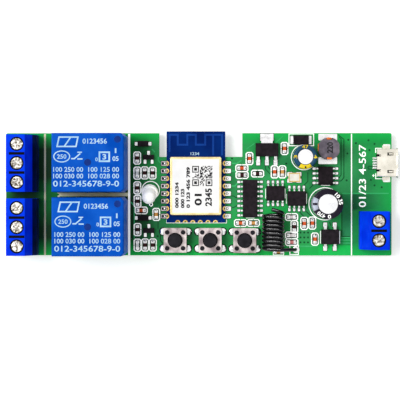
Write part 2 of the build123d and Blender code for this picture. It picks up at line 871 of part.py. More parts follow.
def build_socket():
    """Plug socket: flared steel shell with solder tabs, plastic tongue and five contacts."""
    y = spot(0, socket_centre_px)[1]
    front = board_length / 2 + socket_overhang
    straight_front = front - socket_flare_length
    back = straight_front - socket_depth
    middle = (back + straight_front) / 2
    foot = board_top
    shell = block(middle, y, foot, socket_depth, socket_width, socket_height)
    shell = fillet(shell.edges().filter_by(Axis.X), socket_wall)
    mouth = Plane(origin=(straight_front, y, foot + socket_height / 2), x_dir=(0, 1, 0),
                  z_dir=(1, 0, 0))
    outer = mouth * RectangleRounded(socket_width, socket_height, socket_wall)
    bore = RectangleRounded(socket_width - 2 * socket_wall, socket_height - 2 * socket_wall, socket_wall / 2)
    shell += extrude(outer, amount=socket_flare_length, taper=-socket_flare_angle)
    shell -= extrude(mouth * bore, amount=socket_flare_length, taper=-socket_flare_angle)
    hollow = extrude(mouth * bore, amount=-(socket_depth - socket_block_depth))
    shell -= hollow
    block_x = back + socket_block_depth / 2
    seat = block(block_x, y, foot + socket_wall, socket_block_depth, socket_tongue_width,
                 socket_height - 2 * socket_wall)
    shell -= seat
    tab_x = straight_front - socket_depth / 2
    for side in (-1, 1):
        tab_y = y + side * (socket_width / 2 + socket_tab_reach / 2 - socket_wall / 2)
        shell += block(tab_x, tab_y, foot, socket_tab_length, socket_tab_reach, socket_tab_thickness)
        window_y = y + side * socket_window_spread / 2
        shell -= block(middle + socket_depth / 5, window_y, foot + socket_height - socket_wall,
                       socket_window_length, socket_window_width, socket_wall + cut_overrun)
        slot_y = y + side * socket_slot_spread / 2
        shell -= block(back, slot_y, foot + socket_height - socket_wall, 2 * socket_slot_length,
                       socket_slot_width, socket_wall + cut_overrun)
    node("socket_shell", shell)
    tongue_foot = foot + socket_tongue_height
    insert = block(block_x, y, foot + socket_wall, socket_block_depth, socket_tongue_width,
                   socket_height - 2 * socket_wall)
    insert += block(back + socket_block_depth + socket_tongue_length / 2, y, tongue_foot,
                    socket_tongue_length, socket_tongue_width, socket_tongue_thickness)
    half_row = (socket_contact_count - 1) / 2
    contacts = []
    for i in range(socket_contact_count):
        contact_y = y + (i - half_row) * socket_contact_pitch
        strip_x = back - socket_contact_reach
        lay = tongue_foot - socket_contact_thickness
        length = socket_contact_reach + socket_block_depth + socket_tongue_length - socket_wall
        strip = block(strip_x + length / 2, contact_y, lay, length, socket_contact_width,
                      socket_contact_thickness)
        drop = block(strip_x + socket_contact_thickness / 2, contact_y, foot,
                     socket_contact_thickness, socket_contact_width, lay - foot)
        contacts.append(strip + drop)
        insert -= block(block_x, contact_y, lay - solder_fit, socket_block_depth + cut_overrun,
                        socket_contact_width + 2 * solder_fit, socket_contact_thickness + solder_fit)
    opening = block(back + socket_wall / 2, y, tongue_foot - socket_contact_thickness - solder_fit,
                    socket_wall + cut_overrun, socket_tongue_width, socket_contact_thickness)
    nodes["socket_shell"] = [nodes["socket_shell"][0] - opening]
    node("socket_tongue", insert)
    node("socket_contacts", contacts)


def build_capacitors():
    """Two upright electrolytic capacitors: can, shrunk sleeve, rubber bung and leads."""
    for part in capacitors.values():
        x, y = spot(*part["px"])
        foot = board_top + capacitor_standoff
        radius = part["radius"] - capacitor_sleeve
        top = foot + part["height"]
        can_top = top - capacitor_sleeve
        can = rod(x, y, foot, radius, can_top - foot)
        can = fillet(can.edges().group_by(Axis.Z)[-1], capacitor_edge_fillet)
        can -= rod(x, y, foot - cut_overrun, radius - capacitor_edge_fillet / 2,
                   capacitor_bung_height + cut_overrun)
        vent_reach = 2 * (radius - part["lip"])
        for turn in (0, 90):
            cut = Box(vent_reach, capacitor_vent_width, 2 * capacitor_vent_depth)
            can -= put(x, y, can_top, cut, turn)
        node("capacitor_cans", can)
        sleeve = rod(x, y, foot, part["radius"], part["height"])
        sleeve = fillet(sleeve.edges().group_by(Axis.Z)[-1], capacitor_edge_fillet + capacitor_sleeve)
        inside = rod(x, y, foot - cut_overrun, radius, can_top - foot + cut_overrun)
        inside = fillet(inside.edges().group_by(Axis.Z)[-1], capacitor_edge_fillet)
        sleeve -= inside
        sleeve -= rod(x, y, can_top - cut_overrun, radius - part["lip"], 2 * cut_overrun)
        node("capacitor_sleeves", sleeve)
        bung = rod(x, y, foot, radius - capacitor_edge_fillet / 2 - solder_fit,
                   capacitor_bung_height - capacitor_bung_fit)
        half = part["lead_pitch"] / 2
        lead_foot_z = board_bottom - tail_length + pin_trim
        for side in (-1, 1):
            lead_x = x + side * half
            bung -= rod(lead_x, y, foot - cut_overrun, lead_radius + solder_fit,
                        capacitor_bung_height + 2 * cut_overrun)
            lead_top = foot + capacitor_bung_height - capacitor_bung_fit
            node("component_leads", rod(lead_x, y, lead_foot_z, lead_radius, lead_top - lead_foot_z))
            pin_through(lead_x, y, 2 * lead_radius, 2 * lead_radius, True)
        node("capacitor_bungs", bung)


def build_inductor():
    """Wound ferrite drum: foot flange, barrel, notched cap flange, winding, two foot plates."""
    x, y = spot(*inductor_px)
    foot = board_top + inductor_plate_thickness
    sides = block(0, 0, 0, inductor_width, inductor_length, inductor_height)
    low = rod(0, 0, 0, inductor_length / 2, inductor_foot_thickness)
    cap_foot = inductor_height - inductor_cap_thickness - inductor_plate_thickness
    high = rod(0, 0, cap_foot, inductor_length / 2, inductor_cap_thickness)
    barrel = rod(0, 0, inductor_foot_thickness, inductor_barrel_radius,
                 cap_foot - inductor_foot_thickness)
    for side in (-1, 1):
        cut_y = side * inductor_length / 2
        high -= block(0, cut_y, cap_foot - cut_overrun, inductor_notch_width,
                      2 * inductor_notch_depth, inductor_cap_thickness + 2 * cut_overrun)
    core = ((low + high) & sides) + barrel
    node("inductor_core", put(x, y, foot, core))
    ring = rod(0, 0, inductor_foot_thickness, inductor_winding_radius,
               cap_foot - inductor_foot_thickness)
    ring -= rod(0, 0, 0, inductor_barrel_radius + solder_fit, inductor_height)
    node("inductor_winding", put(x, y, foot, ring))
    plate_y = inductor_length / 2 - inductor_plate_length / 2
    for side in (-1, 1):
        node("chip_leads", block(x, y + side * plate_y, board_top, inductor_width / 2,
                                 inductor_plate_length, inductor_plate_thickness))


def biarc(start, start_way, end, end_way):
    """Two arcs that leave start along start_way and reach end along end_way."""
    gap = end - start
    both = start_way + end_way
    bend = 2 * (1 - start_way.dot(end_way))
    along = gap.dot(both)
    reach = (-along + math.sqrt(along**2 + bend * gap.dot(gap))) / bend
    first = start + start_way * reach
    second = end - end_way * reach
    meet = (first + second) * 0.5
    return [TangentArc(start, meet, tangent=start_way), TangentArc(meet, end, tangent=second - first)]


coil_total_angle = coil_turns * 360 + coil_free_angle - coil_exit_angle


def coil_point(angle, x, y, z):
    """Point and direction of the wound wire at an angle in degrees from its first touch."""
    phi = math.radians(coil_exit_angle + angle)
    last_half = max(0, angle - (coil_total_angle - 2 * coil_quarter)) / (2 * coil_quarter)
    climb = coil_pitch * (angle / 360 + last_half**2 * coil_free_climb_share)
    steepness = 1 / 360 + 2 * last_half * coil_free_climb_share / (2 * coil_quarter)
    rate = coil_pitch * steepness * 180 / math.pi
    radius = coil_mean_radius
    point = Vector(x + radius * math.cos(phi), y + climb, z + radius * math.sin(phi))
    way = Vector(-radius * math.sin(phi), rate, radius * math.cos(phi)).normalized()
    return point, way


def build_coil():
    """Aerial of wound wire: one turn after another along Y, soldered end at the lower right."""
    x = spot(coil_axis_px, 0)[0]
    pad_x, pad_y = spot(*coil_pad_px)
    z = board_top + coil_ride_height + coil_wire_radius + coil_mean_radius
    start, way = coil_point(0, x, pad_y, z)
    to_corner = (pad_x - start.X) / -way.X
    corner = start - way * to_corner
    up = Vector(0, 0, 1)
    half_turn = math.radians(up.get_angle(way)) / 2
    tangent_length = coil_bend_radius * math.tan(half_turn)
    bend_start = corner - up * tangent_length
    bend_end = corner + way * tangent_length
    foot = Vector(corner.X, corner.Y, board_bottom - tail_length + pin_trim)
    edges = [
        Line(foot, bend_start),
        TangentArc(bend_start, bend_end, tangent=up),
        Line(bend_end, start),
    ]
    steps = math.ceil(coil_total_angle / coil_quarter)
    knots = [coil_point(i * coil_total_angle / steps, x, pad_y, z) for i in range(steps + 1)]
    for (from_point, from_way), (to_point, to_way) in zip(knots, knots[1:]):
        edges += biarc(from_point, from_way, to_point, to_way)
    last_point, last_way = knots[-1]
    edges.append(Line(last_point, last_point + last_way * 2 * coil_wire_radius))
    path = Wire([edge for piece in edges for edge in piece.edges()])
    section = Plane(origin=foot, z_dir=up) * Circle(coil_wire_radius)
    wire = sweep(section, path=path)
    node("coil_aerial", wire)
    pin_through(corner.X, corner.Y, 2 * coil_wire_radius, 2 * coil_wire_radius, True)
    report_coil_gap(path)
    expected = math.pi * coil_wire_radius**2 * path.length
    print(f"coil: volume {wire.volume:.3f}, section times length {expected:.3f}")


def report_coil_gap(path):
    """Print the least gap between stretches of the wire over half a turn apart."""
    count = 40 * coil_turns
    points = [path.position_at(i / count) for i in range(count + 1)]
    apart = math.ceil(math.pi * coil_mean_radius / (path.length / count))
    least = min(
        (points[i] - points[j]).length
        for i in range(count + 1) for j in range(i + apart, count + 1)
    )
    gap = least - 2 * coil_wire_radius
    print(f"coil: least gap to itself {gap:.3f}, wanted over {least_gap_wanted}")


def gull_lead(inner, outer, body_mid, width):
    """One lead towards +x: shoulder out of the body, leg down, foot on the board."""
    t = lead_thickness
    knee = outer - lead_foot
    outline = [
        (inner, body_mid), (knee, body_mid), (knee, 0), (outer, 0), (outer, t),
        (knee + t, t), (knee + t, body_mid + t), (inner, body_mid + t),
    ]
    return prism_y(outline, -width / 2, width / 2)


def moulded_body(length, width, height, standoff):
    """Epoxy body with drafted edges, its long side along Y."""
    body = block(0, 0, standoff, width, length, height)
    return chamfer(body.edges().group_by(Axis.Z)[-1], chip_chamfer * height / chip_body_height / 2)


def build_dual_row_chips():
    """Chips with a row of leads on two sides, pitch along their own Y."""
    chips = zip(dual_row_chip_px, dual_row_turn_angles, dual_row_pair_counts)
    for (px, py), turn, pairs in chips:
        x, y = spot(px, py)
        length = (pairs - 1) * chip_pitch + chip_end_margin
        body = moulded_body(length, chip_body_width, chip_body_height, chip_standoff)
        dot_y = length / 2 - chip_dot_margin
        dot_x = -chip_body_width / 2 + chip_dot_margin
        top = chip_standoff + chip_body_height
        body -= rod(dot_x, dot_y, top - chip_dot_depth, chip_dot_radius, cut_overrun)
        node("chip_bodies", put(x, y, board_top, body, turn))
        body_mid = chip_standoff + chip_body_height / 2
        for row in range(pairs):
            lead_y = (row - (pairs - 1) / 2) * chip_pitch
            lead = gull_lead(chip_body_width / 2, chip_span / 2, body_mid, lead_width)
            for side in (0, 180):
                placed = Pos(0, lead_y, 0) * Rot(0, 0, side) * lead
                node("chip_leads", put(x, y, board_top, placed, turn))


def power_part(px, size, span, lead_rows, turn):
    """Moulded part with leads: lead_rows lists (side, place along Y, width)."""
    x, y = spot(*px)
    length, width, height = size
    node("chip_bodies",
         put(x, y, board_top, moulded_body(length, width, height, flat_gap), turn))
    for side, place, lead_size in lead_rows:
        lead = gull_lead(width / 2, span / 2, height / 2, lead_size)
        placed = Rot(0, 0, 0 if side > 0 else 180) * Pos(0, side * place, 0) * lead
        node("chip_leads", put(x, y, board_top, placed, turn))


def build_power_parts():
    """Regulator with its tab, bridge rectifier, transistors and diodes."""
    power_part(tab_chip_px, (tab_chip_length, tab_chip_width, tab_chip_height), tab_span,
               [(-1, -tab_lead_pitch, tab_lead_width), (-1, 0, tab_lead_width),
                (-1, tab_lead_pitch, tab_lead_width), (1, 0, tab_width)], 90)
    pair = bridge_lead_pitch / 2
    power_part(bridge_px, (bridge_length, bridge_width, bridge_height), bridge_span,
               [(side, place, bridge_lead_width) for side in (-1, 1) for place in (-pair, pair)], 90)
    for px in small_transistor_px:
        half = small_transistor_pitch / 2
        power_part(px, (small_transistor_length, small_transistor_width, small_transistor_height),
                   small_transistor_span,
                   [(-1, -half, lead_width), (-1, half, lead_width), (1, 0, lead_width)], 90)
    power_part(power_diode_px, (power_diode_width, power_diode_length, power_diode_height),
               power_diode_span,
               [(side, 0, power_diode_lead_width) for side in (-1, 1)], 0)
    for px in signal_diode_px:
        power_part(px, (signal_diode_width, signal_diode_length, signal_diode_height),
                   signal_diode_span,
                   [(side, 0, signal_diode_lead_width) for side in (-1, 1)], 0)


def build_chip_parts():
    """Two-ended chip parts: a body between two tinned end caps."""
    kinds = (
        ("chip_resistors", level_resistor_px, 0, resistor_height),
        ("chip_resistors", upright_resistor_px, 90, resistor_height),
        ("ceramic_capacitors", level_ceramic_px, 0, ceramic_height),
        ("ceramic_capacitors", upright_ceramic_px, 90, ceramic_height),
        ("indicator_lamps", level_indicator_px, 0, led_chip_height),
        ("indicator_lamps", upright_indicator_px, 90, led_chip_height),
    )
    for name, places, turn, height in kinds:
        for px, py in places:
            x, y = spot(px, py)
            body_length = chip_length - 2 * chip_cap_length
            body = block(0, 0, flat_gap, body_length, chip_width, height)
            node(name, put(x, y, board_top, body, turn))
            for side in (-1, 1):
                cap = block(side * (body_length + chip_cap_length) / 2, 0, 0, chip_cap_length,
                            chip_width + 2 * chip_cap_proud, flat_gap + height + chip_cap_proud)
                node("chip_leads", put(x, y, board_top, cap, turn))


def build_crystal():
    """Quartz crystal: ceramic tray with its metal lid."""
    x, y = spot(*crystal_px)
    tray = block(x, y, board_top, crystal_length, crystal_width, crystal_base_height)
    lid = block(x, y, board_top + crystal_base_height, crystal_length - 2 * crystal_rim,
                crystal_width - 2 * crystal_rim, crystal_lid_height)
    node("crystal_can", [tray, lid])


def build_lamp():
    """Milky round lamp: flange, barrel and dome, leaning above the bend of its two leads."""
    x, y = spot(*lamp_px)
    lean = Pos(x, y, board_top + lamp_lead_bend_height) * Rot(lamp_lean, lamp_side_lean, 0)
    barrel_height = lamp_height - lamp_radius
    flange = rod(0, 0, lamp_lead_rise, lamp_flange_radius, lamp_flange_thickness)
    barrel = rod(0, 0, lamp_lead_rise, lamp_radius, barrel_height)
    dome = Pos(0, 0, lamp_lead_rise + barrel_height) * Sphere(lamp_radius)
    node("round_lamp", lean * (flange + barrel + dome))
    foot = board_bottom - tail_length + pin_trim
    side_of_lead = 2 * lead_radius
    for side in (-1, 1):
        lead_x = side * lamp_lead_pitch / 2
        upper = lean * block(lead_x, 0, -lead_radius, side_of_lead, side_of_lead,
                             lamp_lead_rise + lead_radius)
        lower = block(x + lead_x, y, foot, side_of_lead, side_of_lead,
                      board_top + lamp_lead_bend_height - foot)
        node("component_leads", upper + lower)
        pin_through(x + lead_x, y, side_of_lead, side_of_lead)


def build_board():
    """Circuit board with its notch and a hole for each soldered pin, and the solder cones."""
    plate = block(0, 0, board_bottom, board_length, board_width, board_thickness)
    plate = fillet(plate.edges().filter_by(Axis.Z), board_corner_radius)
    notch_x = spot((notch_left_px + notch_right_px) / 2, 0)[0]
    notch = block(notch_x, board_width / 2 - notch_depth / 2 + cut_overrun / 2,
                  board_bottom - cut_overrun, notch_width, notch_depth + cut_overrun,
                  board_thickness + 2 * cut_overrun)
    holes = []
    for x, y, length, width, round_pin in pins:
        reach = reach_of(length, width, round_pin)
        holes.append(rod(x, y, board_bottom - cut_overrun, reach + hole_clearance,
                         board_thickness + 2 * cut_overrun))
        cone = Pos(x, y, board_bottom - solder_height / 2) * Cone(
            reach + solder_tip_wall, reach + solder_foot_wall, solder_height)
        bore = block(x, y, 0, length + 2 * solder_fit, width + 2 * solder_fit,
                     board_bottom + cut_overrun)
        if round_pin:
            bore = rod(x, y, 0, length / 2 + solder_fit, board_bottom + cut_overrun)
        node("solder_joints", cone - bore)
    node("main_board", plate - notch - holes)


def write_parts():
    """Write every piece, moved so that the part stands over the middle of its own box."""
    for name, shapes in nodes.items():
        solids = [solid for shape in shapes for solid in shape.solids()]
        placed = [Pos(-origin_x, -origin_y, 0) * solid for solid in solids]
        export_step(Compound(children=placed), f"parts/{name}.step")
    print(f"{len(nodes)} pieces written")


build_terminals()
build_relays()
build_buttons()
build_radio()
build_socket()
build_capacitors()
build_inductor()
build_coil()
build_dual_row_chips()
build_power_parts()
build_chip_parts()
build_crystal()
build_lamp()
build_board()
write_parts()
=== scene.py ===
# %% [markdown]
# A smart relay module seen from above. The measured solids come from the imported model, already in
# metres and in place. This lesson gives each of them its real finish, and adds what is too thin or
# too fine for the solids: print, pads, tracks, solder, stripes and the insulated wire of the coil.

# %% Load the fixed frame
import math
import bmesh
import bpy
import numpy as np
from mathutils import Matrix, Vector


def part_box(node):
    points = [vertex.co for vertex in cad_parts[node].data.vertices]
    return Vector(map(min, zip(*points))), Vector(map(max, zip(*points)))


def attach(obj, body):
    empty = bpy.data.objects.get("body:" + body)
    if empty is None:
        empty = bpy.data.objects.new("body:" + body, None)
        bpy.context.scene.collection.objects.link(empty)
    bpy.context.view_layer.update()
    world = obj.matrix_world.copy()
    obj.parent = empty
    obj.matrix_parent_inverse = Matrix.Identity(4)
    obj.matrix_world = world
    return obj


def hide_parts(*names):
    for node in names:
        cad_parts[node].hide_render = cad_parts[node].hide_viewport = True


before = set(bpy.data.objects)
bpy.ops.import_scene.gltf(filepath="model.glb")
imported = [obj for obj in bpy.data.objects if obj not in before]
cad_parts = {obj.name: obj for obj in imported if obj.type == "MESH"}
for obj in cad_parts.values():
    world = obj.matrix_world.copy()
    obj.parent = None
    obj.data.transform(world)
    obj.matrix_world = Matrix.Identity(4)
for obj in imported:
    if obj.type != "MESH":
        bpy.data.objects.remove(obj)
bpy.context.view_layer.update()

mm = 0.001
board_left_px, board_right_px, board_middle_px = 5.4, 391.3, 194.3
board_length = 102.5
along_share = board_length / (board_right_px - board_left_px)
across_share = 0.2659574
origin_x, origin_y = 0.725, 0.225
board_top = 3.2
radio_top = board_top + 0.8


def spot(px, py):
    """Place in mm of a pixel: its distance from the middle pixel times the scale, less the origin."""
    x = (px - (board_left_px + board_right_px) / 2) * along_share - origin_x
    y = (board_middle_px - py) * across_share - origin_y
    return x, y


def shown(made):
    """Object linked into the scene."""
    bpy.context.scene.collection.objects.link(made)
    return made


# %% [markdown]
# The photograph looks almost straight down from about 465 mm, so tall parts lean a little away
# from the point under the lens. A long lens with a small tilt gives the same leaning, and no shift
# is needed.

# %% Camera
eye_height = 465.0
eye_px, eye_py = 238.0, 195.0
aim_px, aim_py = 200.0, 200.0
pixels_per_mm, picture_px, sensor_mm = 3.762, 400, 36.0
nearest, farthest = 0.01, 20


def spot_up(px, py, height):
    """Place in mm of a pixel that shows a point above the board: nearer the eye by height / distance."""
    share = (eye_height - height) / eye_height
    return spot(eye_px + (px - eye_px) * share, eye_py + (py - eye_py) * share)


camera_data = bpy.data.cameras.new("camera")
camera = shown(bpy.data.objects.new("camera", camera_data))
eye = Vector((*spot(eye_px, eye_py), board_top + eye_height)) * mm
aim = Vector((*spot(aim_px, aim_py), board_top)) * mm
back = (eye - aim).normalized()
right = Vector((0, 1, 0)).cross(back).normalized()
camera.location = eye
camera.rotation_euler = Matrix((right, back.cross(right), back)).transposed().to_euler()
camera_data.sensor_width = sensor_mm
camera_data.lens = pixels_per_mm * eye_height * sensor_mm / picture_px
camera_data.clip_start, camera_data.clip_end = nearest, farthest
bpy.context.scene.camera = camera
print("lens", round(camera_data.lens, 1), "mm")

# %% [markdown]
# The sky, the floor and every finish are small networks of nodes. Each input of a node takes
# either a fixed value or the output of another node, so one function can place any of them.

# %% Node helpers
white = (1, 1, 1, 1)


def cleared(owner):
    """Empty node tree of a world or a material."""
    owner.use_nodes = True
    owner.node_tree.nodes.clear()
    return owner.node_tree


def put(tree, kind, feeds, **settings):
    """Outputs of a new node: settings are its properties, feeds give an input a value or a link."""
    node = tree.nodes.new("ShaderNode" + kind)
    for name, value in settings.items():
        setattr(node, name, value)
    for name, feed in feeds.items():
        if isinstance(feed, bpy.types.NodeSocket):
            tree.links.new(feed, node.inputs[name])
        else:
            node.inputs[name].default_value = feed
    return node.outputs


def maths(tree, operation, first, second):
    """One sum of two values, such as MULTIPLY or MAXIMUM."""
    return put(tree, "Math", {0: first, 1: second}, operation=operation)[0]


def spread(tree, value, low, high, to_low, to_high):
    """Straight map of a value from one range to another, clamped at its ends."""
    return put(tree, "MapRange", {"Value": value, "From Min": low, "From Max": high,
                                  "To Min": to_low, "To Max": to_high})["Result"]


def noise(tree, vector, scale, detail):
    """Noise fed by a place; its scale is a value or a link."""
    return put(tree, "TexNoise", {"Vector": vector, "Scale": scale, "Detail": detail})["Fac"]


def blend(tree, amount, low, high):
    """Mix of two colours by an amount from 0 to 1."""
    return put(tree, "Mix", {0: amount, 6: low, 7: high}, data_type="RGBA")[2]


# %% [markdown]
# The left faces of the part are bright and the right faces are dark, so one soft lamp stands high
# on the left. The sky fills the rest and is weaker on the right. Together they add up to about one
# on a level face, so a colour renders about as it is written. A long narrow lamp behind the part
# only draws the streaks on the coil, and no other piece takes its light.

# %% Lamp and sky
sky_level, sky_left, sky_right = 0.63, 1.4, 0.6
lamp_strength, lamp_spread, lamp_from = 1.74, 28, (-0.50, 0.16, 0.85)
strip_size, strip_power = (2.4, 0.06), 22.0
strip_place, strip_tilt = (0.02, 0.22, 0.40), -29
lamp = bpy.data.lights.new("soft_lamp", "SUN")
lamp.energy = lamp_strength
lamp.angle = math.radians(lamp_spread)
lamp_object = shown(bpy.data.objects.new("soft_lamp", lamp))
lamp_object.rotation_euler = Vector(lamp_from).to_track_quat("Z", "Y").to_euler()
strip = bpy.data.lights.new("strip_lamp", "AREA")
strip.shape = "RECTANGLE"
strip.size, strip.size_y = strip_size
strip.energy = strip_power
strip_object = shown(bpy.data.objects.new("strip_lamp", strip))
strip_object.location = strip_place
strip_object.rotation_euler = (math.radians(strip_tilt), 0, 0)
strip_object.visible_camera = False
strip_object.visible_diffuse = False
streaked = bpy.data.collections.new("takes_streaks")
strip_object.light_linking.receiver_collection = streaked

world = bpy.data.worlds.new("pale_sky")
bpy.context.scene.world = world
sky = cleared(world)
ray = put(sky, "LightPath", {})
seen = maths(sky, "MAXIMUM", ray["Is Camera Ray"], ray["Is Glossy Ray"])
seen = maths(sky, "MAXIMUM", seen, ray["Is Transmission Ray"])
way = put(sky, "SeparateXYZ", {0: put(sky, "TexCoord", {})["Generated"]})
slope = spread(sky, way["X"], -1.0, 1.0, sky_level * sky_left, sky_level * sky_right)
background = put(sky, "Background", {"Color": white, "Strength": spread(sky, seen, 0.0, 1.0, slope, 1.0)})
put(sky, "OutputWorld", {"Surface": background[0]})
bpy.context.scene.view_settings.view_transform = "Standard"
print("sky", sky_level, "lamp", lamp_strength)

# %% [markdown]
# The floor is a wide pale sheet under the pins. To the camera it glows a little, so that it reads
# as white paper, and it still takes the soft shadow of the board.

# %% Floor
floor_reach = 3.0
paper_grey, paper_gain = (0.80, 0.80, 0.80, 1), 0.46
floor_mesh = bpy.data.meshes.new("floor")
corner_signs = np.array([(-1, -1), (1, -1), (1, 1), (-1, 1)])
floor_verts = np.column_stack([corner_signs * floor_reach, np.zeros(4)])
floor_mesh.from_pydata(floor_verts.tolist(), [], [(0, 1, 2, 3)])
floor = shown(bpy.data.objects.new("floor", floor_mesh))
paper = bpy.data.materials.new("white_paper")
tree = cleared(paper)
glow = maths(tree, "MULTIPLY", put(tree, "LightPath", {})["Is Camera Ray"], paper_gain)
paper_shaders = {0: put(tree, "BsdfDiffuse", {"Color": paper_grey})[0],
                 1: put(tree, "Emission", {"Strength": glow})[0]}
put(tree, "OutputMaterial", {"Surface": put(tree, "AddShader", paper_shaders)[0]})
floor_mesh.materials.append(paper)
print("floor laid")

# %% [markdown]
# No surface here is one flat colour. Four effects come back again and again: cloudy colour, fine
# moulded grain, drawn metal with its long scratches, and the faint weave of glass fibre under the
# lacquer. Each is a node group with named sockets, built once.

# %% Node groups


def new_group(name, **inputs):
    """Empty shader group and its inputs, whose kind follows from how many numbers each value has."""
    group = bpy.data.node_groups.new(name, "ShaderNodeTree")
    kinds = {1: "NodeSocketFloat", 3: "NodeSocketVector", 4: "NodeSocketColor"}
    for key, value in inputs.items():
        socket = group.interface.new_socket(key, in_out="INPUT", socket_type=kinds[np.size(value)])
        socket.default_value = value
    return group, group.nodes.new("NodeGroupInput").outputs


def finished(group, **results):
    """Group whose results are its outputs."""
    for name in results:
        kind = "NodeSocketColor" if name == "Color" else "NodeSocketFloat"
        group.interface.new_socket(name, in_out="OUTPUT", socket_type=kind)
    out = group.nodes.new("NodeGroupOutput")
    for name, socket in results.items():
        group.links.new(socket, out.inputs[name])
    return group


def make_mottle():
    """Cloudy colour: a mix of two colours by noise, spread out about its middle."""
    group, given = new_group("cloudy_colour", Place=(0, 0, 0), Scale=300.0, Low=(0, 0, 0, 1), High=white,
                             Smooth=0.4, Rough=0.5)
    cloud = noise(group, given["Place"], given["Scale"], 4.0)
    amount = spread(group, cloud, 0.35, 0.65, 0.0, 1.0)
    return finished(group, Color=blend(group, amount, given["Low"], given["High"]),
                    Roughness=spread(group, cloud, 0.3, 0.7, given["Smooth"], given["Rough"]))


def make_grain():
    """Fine grain: two noises of different size added to one height."""
    group, given = new_group("fine_grain", Place=(0, 0, 0), Scale=4000.0)
    fine = noise(group, given["Place"], given["Scale"], 2.0)
    broad = noise(group, given["Place"], 700.0, 2.0)
    return finished(group, Height=put(group, "Math", {0: broad, 1: 0.35, 2: fine},
                                      operation="MULTIPLY_ADD")[0])


def make_brushed():
    """Drawn metal: noise on squeezed coordinates gives long scratches along one direction."""
    group, given = new_group("drawn_metal", Place=(0, 0, 0), Stretch=(1, 30, 30), Scale=600.0)
    squeeze = put(group, "VectorMath", {0: given["Place"], 1: given["Stretch"]}, operation="MULTIPLY")
    return finished(group, Height=noise(group, squeeze["Vector"], given["Scale"], 4.0))


def make_weave():
    """Glass weave: sine along X times sine along Y, at the thread's pitch."""
    group, given = new_group("glass_weave", Place=(0, 0, 0), Scale=9000.0)
    split = put(group, "SeparateXYZ", {0: given["Place"]})
    waves = [put(group, "Math", {0: maths(group, "MULTIPLY", split[axis], given["Scale"])},
                 operation="SINE")[0] for axis in ("X", "Y")]
    return finished(group, Height=maths(group, "MULTIPLY", *waves))


cloudy_colour, grain, drawn, weave = make_mottle(), make_grain(), make_brushed(), make_weave()
print("groups:", [g.name for g in bpy.data.node_groups])

# %% [markdown]
# A finish is written in the numbers of a colour picker, from 0 to 255. The renderer counts light,
# so each number is first turned back from the picker's curve. One function then builds a finish:
# cloudy colour, grain or scratches as a bump, and plain values on the shader's own sockets. A row
# of the table is a name, two colours, a range of roughness, the surface with its scale and depth,
# the scale of the clouds, the shader's values, and which way the scratches run.

# %% Finishes
bump_height = 0.00003
plain = {"Specular IOR Level": 0.09}
dim = {"Specular IOR Level": 0.03}
metal = {"Metallic": 1.0}
dull_metal = {"Metallic": 0.9}


def light(r, g, b):
    """Linear colour of a picker colour: ((c + 0.055) / 1.055) ** 2.4, straight below 0.04."""
    c = np.array([r, g, b]) / 255
    linear = np.where(c <= 0.04045, c / 12.92, ((c + 0.055) / 1.055) ** 2.4)
    return (*linear.tolist(), 1.0)


def finish(name, low, high, rough, surface=grain, scale=4000.0, bump=0.15, cloud=260.0, values=plain,
           stretch=(1, 30, 30)):
    """Finish of one material: low and high colours, roughness range, kind and depth of its surface."""
    material = bpy.data.materials.new(name)
    tree = cleared(material)
    place = put(tree, "TexCoord", {})["Object"]
    colour = put(tree, "Group", {"Place": place, "Scale": cloud, "Low": light(*low), "High": light(*high),
                                 "Smooth": rough[0], "Rough": rough[1]}, node_tree=cloudy_colour)
    feeds = {"Place": place, "Scale": scale}
    if surface == drawn:
        feeds["Stretch"] = stretch
    relief = put(tree, "Group", feeds, node_tree=surface)
    bumps = put(tree, "Bump", {"Strength": bump, "Distance": bump_height, "Height": relief["Height"]})
    shader = put(tree, "BsdfPrincipled", {"Base Color": colour["Color"], "Roughness": colour["Roughness"],
                                          "Normal": bumps["Normal"], **values})
    put(tree, "OutputMaterial", {"Surface": shader[0]})
    return material


